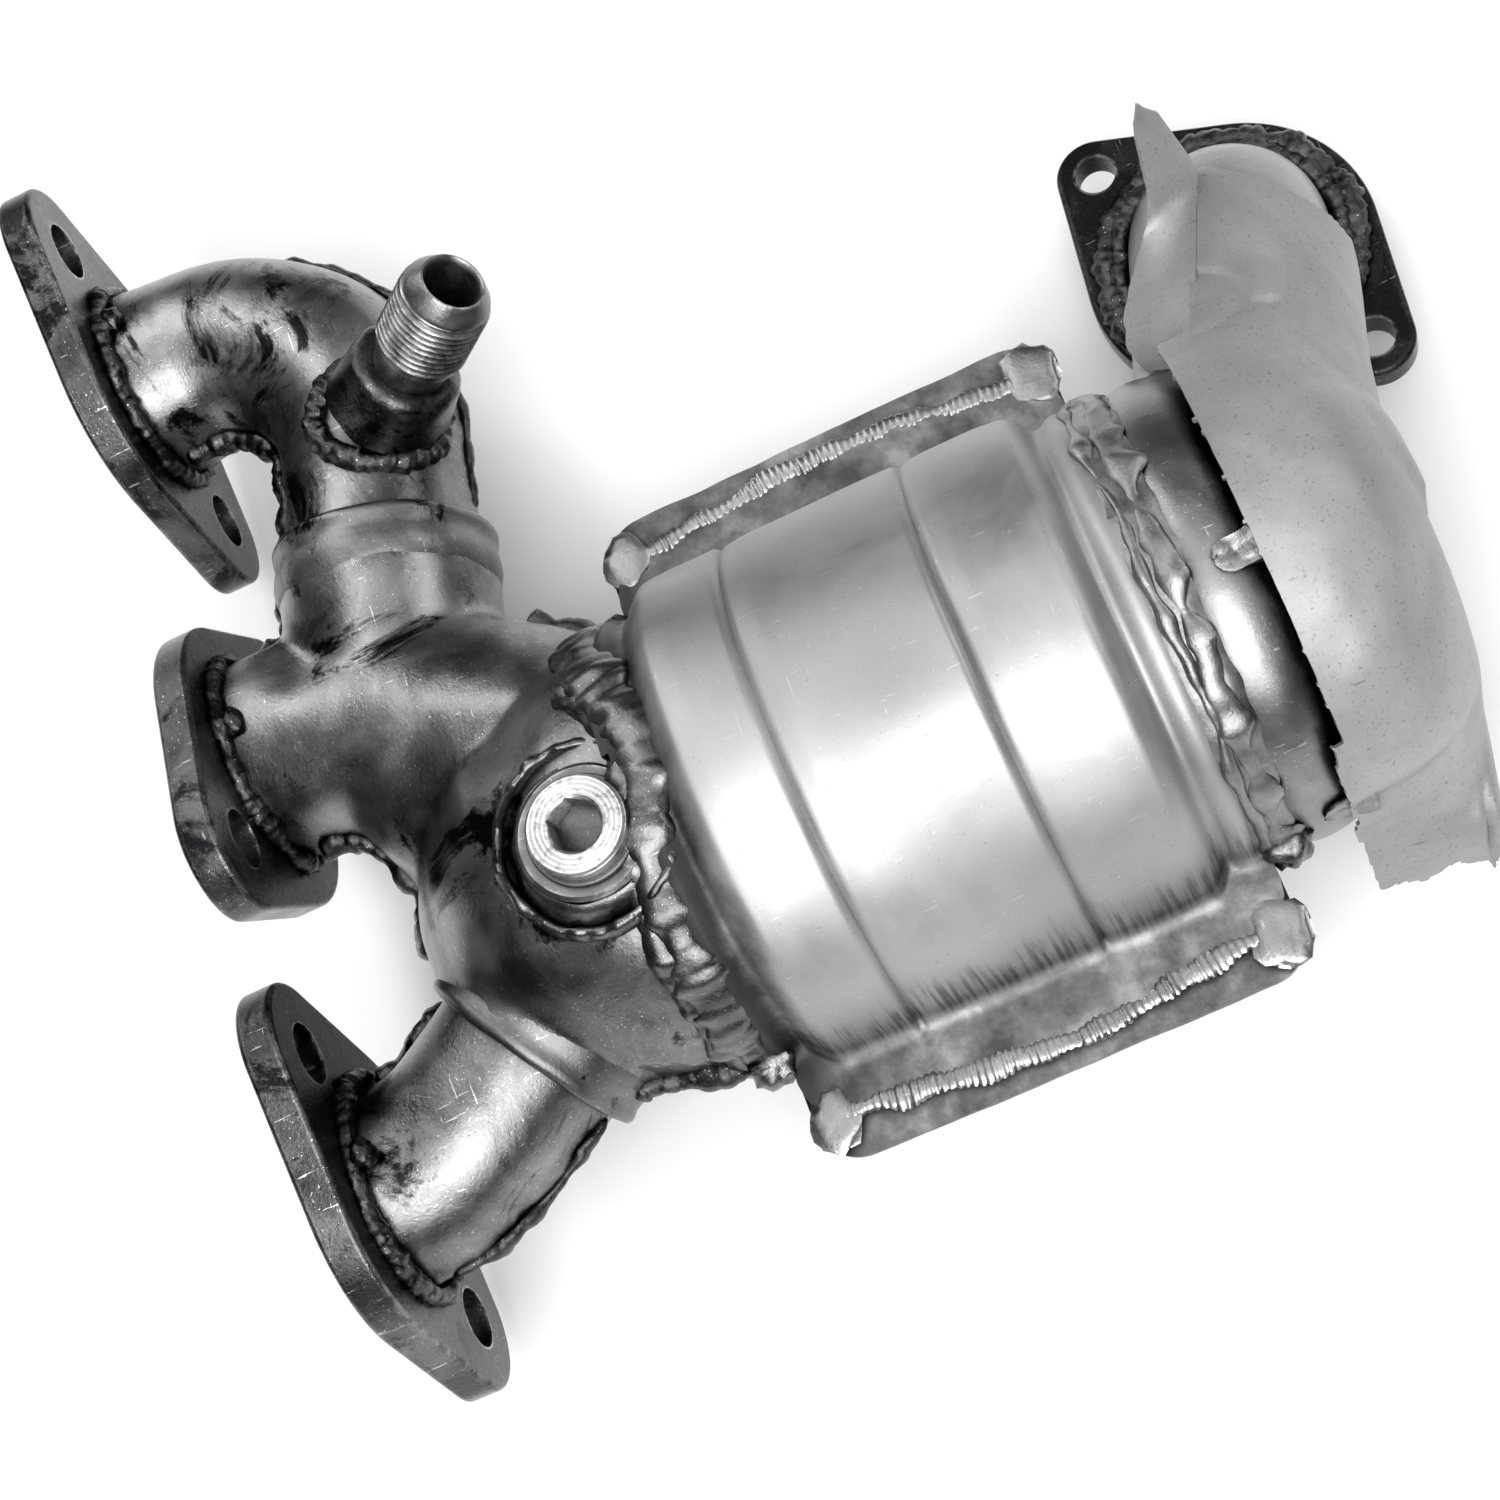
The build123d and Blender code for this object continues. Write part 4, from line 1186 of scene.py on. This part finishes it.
class MANIFOLD_OT_take_off(bpy.types.Operator):
    """Threaded take-off fitting with its shank and welded boss"""
    bl_idname = "manifold.take_off"
    bl_label = "Take-off fitting"

    def execute(self, context):
        end = THREAD_TOP - THREAD_TURNS * THREAD_PITCH
        nose = [(5.8, -46.0), (5.8, -20.0), (5.8, -1.6), (6.1, -0.5), (6.5, 0.0), (6.9, -0.1), (9.2, -3.4), (9.3, -3.9)]
        shank = [(9.25, end - 1.0), (8.4, end - 1.7), (8.1, -25.0), (8.1, -31.0), (8.3, -33.0), (8.6, -46.0)]
        rows = [turned_row(lambda k, r=r: r, z) for r, z in nose]
        rows += thread_rows()
        rows += [turned_row(lambda k, r=r: r, z) for r, z in shank]
        turn = FITTING_OUT.to_track_quat("Z", "Y").to_matrix()
        rows = [[FITTING_MOUTH + turn @ p for p in row] for row in rows]
        obj = skin("take_off_fitting", rows, ring=True, loop=True)
        outward(obj)
        finish_piece(obj, "fitting_steel", nodes=["egr_fitting"], angle=35)
        profile = [(8.0, -28.0), (9.6, -28.2), (11.2, -29.0), (12.0, -30.4), (12.3, -33.0), (12.8, -37.0),
                   (13.4, -43.0), (8.0, -43.0)]
        boss = lathe("take_off_boss", profile, 64, closed=True)
        move_points(boss, lambda p: Vector((p.x, p.y, 0)) * (0.05 * wobble(p, 4.0, 2.0))
                    + Z_UP * (0.7 * wobble(p, 5.0, 3.0)))
        stand(boss, FITTING_MOUTH, FITTING_OUT)
        finish_piece(boss, "dark_weld", angle=60)
        return {"FINISHED"}


# ---------------------------------------------------------------- welds

def toward(centre):
    """Outward direction of a bead that faces a point."""
    centre = Vector(centre)
    return lambda point: (centre - point).normalized()


def edge_line(names, centre, start, end, count=40, level=0.25, reach=60.0):
    """Points where a fan of level rays from a gap's middle meets its edges."""
    centre = Vector((centre[0], centre[1], level))
    out = []
    for k in range(count + 1):
        a = math.radians(start + (end - start) * k / count)
        hit = cast(names, centre, (math.cos(a), math.sin(a), 0))
        if hit and (hit - centre).length < reach:
            out.append(Vector((hit.x, hit.y, 0)))
    steady = [p for i, p in enumerate(out) if i == 0 or (p - out[i - 1]).length < 7.0]
    for _ in range(2):
        steady = [(a + b * 2 + c) / 4 for a, b, c in zip(steady, steady[1:], steady[2:])]
    return steady


class MANIFOLD_OT_round_welds(bpy.types.Operator):
    """Weld rings round the ports, the fitting, the sensor bung and the outlet"""
    bl_idname = "manifold.round_welds"
    bl_label = "Round welds"

    def execute(self, context):
        h = settings().weld_height / MM
        dark = "dark_weld"
        for k, x in enumerate(PORT_X):
            obj = bead(f"port_weld_{k + 1}", ring_points((x, FLANGE_BACK_Y - 0.8, 0), (0, 1, 0), 23.0),
                       from_axis((x, 0, 0), (0, 1, 0)), 5.0, h + 0.6, 2.6, 10.0 + k, loop=True, rag=0.3)
            finish_piece(obj, dark, angle=70)
        elbow = ["upper_elbow_top_stamping"]
        boss = FITTING_MOUTH - FITTING_OUT * 25.0
        points = [cast(elbow, p, -FITTING_OUT) or p - FITTING_OUT * 12
                  for p in ring_points(boss, FITTING_OUT, 13.0, 48)]
        obj = bead("take_off_weld", points, from_axis(boss - FITTING_OUT * 14, FITTING_OUT), 6.0, h + 1.0, 3.4, 21.0,
                   loop=True, rag=0.35, ripple=0.2)
        finish_piece(obj, "black_weld", angle=70)
        shells = ["collector_top_stamping", "converter_top_stamping"]
        points = []
        for p in ring_points((BUNG.x, BUNG.y, 75.0), (0, 0, 1), 18.0, 48):
            hit = cast(shells, p, (0, 0, -1))
            points.append(Vector((p.x, p.y, min(max(hit.z, 34.0), 42.0) if hit else 40.5)))
        profile = [(13.7, 44.4), (14.4, 44.2), (15.6, 42.4), (17.4, 39.4), (20.0, 35.5), (13.7, 32.0)]
        fillet = stand(lathe("sensor_fillet", profile, 72, closed=True), (BUNG.x, BUNG.y, 0), Z_UP)
        move_points(fillet, lambda p: Vector((p.x - BUNG.x, p.y - BUNG.y, 3.0)).normalized()
                    * (0.6 * wobble(p, 5.0, 8.0)))
        finish_piece(fillet, "neck_weld", angle=70)
        obj = bead("sensor_weld", points, from_axis((BUNG.x, BUNG.y, 36.0), (0, 0, 1)), 6.0, h, 4.5, 31.0,
                   loop=True, rag=0.3, ripple=0.1, lump=3.6)
        finish_piece(obj, "neck_weld", angle=70)
        for k, (radius, width, height, lift) in enumerate(((26.6, 7.6, 3.0, 0.4), (24.0, 5.5, 3.4, 1.2))):
            ring = ring_points(OUTLET + Z_UP * lift, (0, 0, 1), radius, 36)
            obj = bead(f"outlet_pipe_weld_{k + 1}", ring, lambda p: Z_UP, width, height, 2.8, 61.0 + k,
                       loop=True, rag=0.3, ripple=0.16, lump=3.4)
            finish_piece(obj, "black_weld", angle=70)
        return {"FINISHED"}


class MANIFOLD_OT_shell_welds(bpy.types.Operator):
    """Wide welds at both necks of the converter and along its rims"""
    bl_idname = "manifold.shell_welds"
    bl_label = "Converter welds"

    def execute(self, context):
        h = settings().weld_height / MM
        axis = from_axis((CONV_X, 0, 0), (0, 1, 0))

        def round_the_bung(degrees):
            return -7.0 * bell(degrees, 96.0, 20.0) + 0.9 * wobble((degrees, 0, 0), 14.0, 3.0)

        for k, (shift, radius, width, height) in enumerate(((0.0, 46.9, 10.5, h + 0.5), (3.8, 45.6, 8.0, h + 0.5))):
            points = ring_points((CONV_X, -88.4 + shift, 0), (0, 1, 0), radius, 90, offset=round_the_bung)
            obj = bead(f"inlet_weld_{k + 1}", points, axis, width, height, 4.5, 41.0 + 5 * k,
                       loop=True, rag=0.3, ripple=0.1, sides=20, lump=4.6)
            finish_piece(obj, "neck_weld", angle=80)
        strands = ((-195.6, 47.6, 12.0, 1.3, 0.16), (-196.8, 48.4, 5.6, 1.1, 0.55), (-193.6, 48.5, 2.4, 0.9, 0.6))
        for k, (y, radius, width, height, rag) in enumerate(strands):
            def wander(degrees, k=k):
                a = math.radians(degrees)
                return 2.0 * wobble((40 * math.cos(a), 40 * math.sin(a), k), 20.0, 2.0 * k)

            points = ring_points((CONV_X, y, 0), (0, 1, 0), radius, 90, offset=wander)
            obj = bead(f"outlet_weld_{k + 1}", points, axis, width, height, 14.0, 51.0 + 3 * k,
                       loop=True, rag=rag, ripple=0.03, lump=5.5)
            finish_piece(obj, "outlet_weld", angle=60)
        for side, label in ((1, "far"), (-1, "near")):
            points = []
            for k in range(41):
                y = -96.0 - 95.0 * k / 40
                points.append(Vector((CONV_X + side * (rim_width(y, 68.0, True) - 0.6), y, 1.5)))
            obj = bead(f"rim_weld_{label}", points, lambda p: Z_UP, 4.2, 0.7, 1.5, 71.0 + side,
                       rag=0.4, ripple=0.28, step=0.35, lump=4.0)
            finish_piece(obj, "rim_steel", angle=50)
            for y, size in ((-97.5, 5.0), (-190.0, 5.6)):
                obj = blob(f"rim_ear_{label}_{round(-y)}", (CONV_X + side * 64.0, y, 1.5), (0, 0, 1),
                           size * 1.25, 0.9, 4.0 + y, 0.3)
                finish_piece(obj, "rim_steel", angle=60)
            for y in (-90.0, -198.0):
                obj = blob(f"neck_lump_{label}_{round(-y)}", (CONV_X + side * 49.0, y, 1.0), (side, 0, 0.4),
                           5.2, 4.0, 9.0 + y, 0.4)
                finish_piece(obj, "weld_steel", angle=60)
        return {"FINISHED"}


class MANIFOLD_OT_seam_welds(bpy.types.Operator):
    """Welds along the seams of the elbows and the collector, and small tacks"""
    bl_idname = "manifold.seam_welds"
    bl_label = "Seam welds"

    def execute(self, context):
        h = settings().weld_height / MM
        black, dark = "black_weld", "dark_weld"
        for stem, path in (("upper", upper_path()), ("lower", lower_path())):
            line = [p for p, _ in path]
            for side in (1, -1):
                points = [p + Z_UP.cross(heading) * (side * (TUBE_R + 0.6)) for p, heading in path[3:-1:2]]
                outer = side < 0 if stem == "upper" else side > 0

                def away(point, line=line):
                    return (point - min(line, key=lambda c: (c - point).length)).normalized()

                label = "outer" if outer else "inner"
                width, height = (6.5, h * 1.6) if outer else (3.0, h * 0.7)
                obj = bead(f"{stem}_{label}_seam_weld", points, away, width, height, 3.4, 5.0 + side,
                           rag=0.45, lump=4.0)
                finish_piece(obj, dark if outer else black, angle=70)
        shells = ["collector_top_stamping"]
        gaps = (("lower_gap", (-50.0, -18.0), 40, -175), ("notch", (8.0, -80.0), 115, 215),
                ("upper_gap", (44.0, -8.0), 180, 255), ("lower_side", (-116.0, -76.0), 50, -65))
        for name, centre, start, end in gaps:
            points = edge_line(shells, centre, start, end)
            if len(points) < 4:
                continue
            obj = bead(f"{name}_weld", points, toward((*centre, 0)), 6.0, h + 1.2, 3.6, 81.0 + start,
                       rag=0.4, lump=4.0)
            finish_piece(obj, black, angle=70)
        for k, (x, z) in enumerate(((-95.5, 23.5), (1.0, 22.5), (104.0, 21.5))):
            tack = blob(f"port_tack_{k + 1}", (x, -12.0, z), (0.1, -0.5, 0.9), 3.2, 2.4, 3.0 + k, 0.3)
            finish_piece(tack, dark, angle=60)
        return {"FINISHED"}


# ---------------------------------------------------------------- finishes on the plain nodes

NODE_FINISH = {
    "port_flange_1": "flange_steel", "port_flange_2": "flange_steel", "port_flange_3": "flange_steel",
    "sensor_bung": "fitting_steel", "sensor_plug": "plug_steel", "plug_gasket": "washer",
    "catalyst_brick": "brick", "support_mat": "mat", "front_seal_ring": "fitting_steel",
    "rear_seal_ring": "fitting_steel", "inlet_liner": "liner_steel", "outlet_flange": "outlet_steel",
}


class MANIFOLD_OT_finishes(bpy.types.Operator):
    """Detailed finishes on the flanges, bung, plug and inner parts"""
    bl_idname = "manifold.finishes"
    bl_label = "Finishes"

    def execute(self, context):
        for name, finish in NODE_FINISH.items():
            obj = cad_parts[name]
            material = finish_named(finish)
            if not obj.material_slots:
                obj.data.materials.append(material)
            for slot in obj.material_slots:
                slot.material = material
        return {"FINISHED"}


# ---------------------------------------------------------------- stage

def area_light(name, place, aim, size, power, size_y=None):
    data = bpy.data.lights.new(name, "AREA")
    data.shape = "RECTANGLE"
    data.size = size
    data.size_y = size_y or size
    data.energy = power
    obj = bpy.data.objects.new(name, data)
    bpy.context.scene.collection.objects.link(obj)
    obj.location = place
    obj.rotation_euler = (Vector(aim) - Vector(place)).to_track_quat("-Z", "Y").to_euler()
    return obj


class MANIFOLD_OT_stage(bpy.types.Operator):
    """Floor, soft lights and camera"""
    bl_idname = "manifold.stage"
    bl_label = "Stage"

    def execute(self, context):
        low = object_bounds()[0]
        deselect()
        bpy.ops.mesh.primitive_plane_add(size=8.0, location=(0, -0.12, low[2] - settings().floor_drop))
        floor = bpy.context.object
        floor.name = "floor"
        floor.data.materials.append(surface(new_material("pale floor")[0], grey(0.9), 0.9, 0.0))
        floor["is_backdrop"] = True
        world = bpy.data.worlds.new("studio")
        context.scene.world = world
        world.use_nodes = True
        tree = world.node_tree
        upward = split(tree, node(tree, "ShaderNodeTexCoord").outputs["Generated"])["Z"]
        feed(tree, tree.nodes["Background"].inputs["Color"], ramp(tree, upward, [(0.0, 0.05), (0.35, 0.10), (1.0, 0.55)]))
        middle = (-0.02, -0.13, 0.0)
        area_light("key softbox", (-0.66, -0.06, 0.84), middle, 0.75, 13.0)
        area_light("left strip", (0.75, 0.30, 0.75), middle, 0.25, 4.0, 1.1)
        area_light("far strip", (0.25, -1.10, 0.70), middle, 1.1, 4.0, 0.25)
        area_light("top fill", (0.1, -0.1, 1.6), middle, 1.6, 9.0)
        data = bpy.data.cameras.new("camera")
        data.sensor_width = 36.0
        data.lens = 67.06
        data.clip_start = 0.01
        camera = bpy.data.objects.new("camera", data)
        context.scene.collection.objects.link(camera)
        right = Vector((-0.33225, -0.90236, -0.27451))
        up = Vector((0.86940, -0.40585, 0.28182))
        back = Vector((-0.36571, -0.14503, 0.91936))
        camera.matrix_world = Matrix((
            (right.x, up.x, back.x, -0.25078),
            (right.y, up.y, back.y, -0.18995),
            (right.z, up.z, back.z, 0.52291),
            (0, 0, 0, 1),
        ))
        context.scene.camera = camera
        context.scene.view_settings.view_transform = "Standard"
        return {"FINISHED"}


class MANIFOLD_PT_panel(bpy.types.Panel):
    """Lists the pieces in the order they are made"""
    bl_idname = "MANIFOLD_PT_panel"
    bl_label = "Exhaust manifold"
    bl_space_type = "VIEW_3D"
    bl_region_type = "UI"
    bl_category = "Manifold"

    def draw(self, context):
        for name in ManifoldSettings.__annotations__:
            self.layout.prop(context.scene.manifold_settings, name)
        for operator in PIECE_OPERATORS:
            self.layout.operator(operator.bl_idname)


PIECE_OPERATORS = (
    MANIFOLD_OT_elbows, MANIFOLD_OT_collector, MANIFOLD_OT_converter, MANIFOLD_OT_outlet_housing,
    MANIFOLD_OT_heat_shield, MANIFOLD_OT_shield_tabs, MANIFOLD_OT_take_off, MANIFOLD_OT_round_welds,
    MANIFOLD_OT_shell_welds, MANIFOLD_OT_seam_welds, MANIFOLD_OT_finishes, MANIFOLD_OT_stage,
)
CLASSES = (ManifoldSettings, *PIECE_OPERATORS, MANIFOLD_PT_panel)


def register():
    for cls in CLASSES:
        bpy.utils.register_class(cls)
    bpy.types.Scene.manifold_settings = bpy.props.PointerProperty(type=ManifoldSettings)


def unregister():
    del bpy.types.Scene.manifold_settings
    for cls in reversed(CLASSES):
        bpy.utils.unregister_class(cls)


def main():
    register()
    bpy.ops.manifold.elbows()
    bpy.ops.manifold.collector()
    bpy.ops.manifold.converter()
    bpy.ops.manifold.outlet_housing()
    bpy.ops.manifold.heat_shield()
    bpy.ops.manifold.shield_tabs()
    bpy.ops.manifold.take_off()
    bpy.ops.manifold.round_welds()
    bpy.ops.manifold.shell_welds()
    bpy.ops.manifold.seam_welds()
    bpy.ops.manifold.finishes()
    bpy.ops.manifold.stage()


if __name__ == "__main__":
    main()
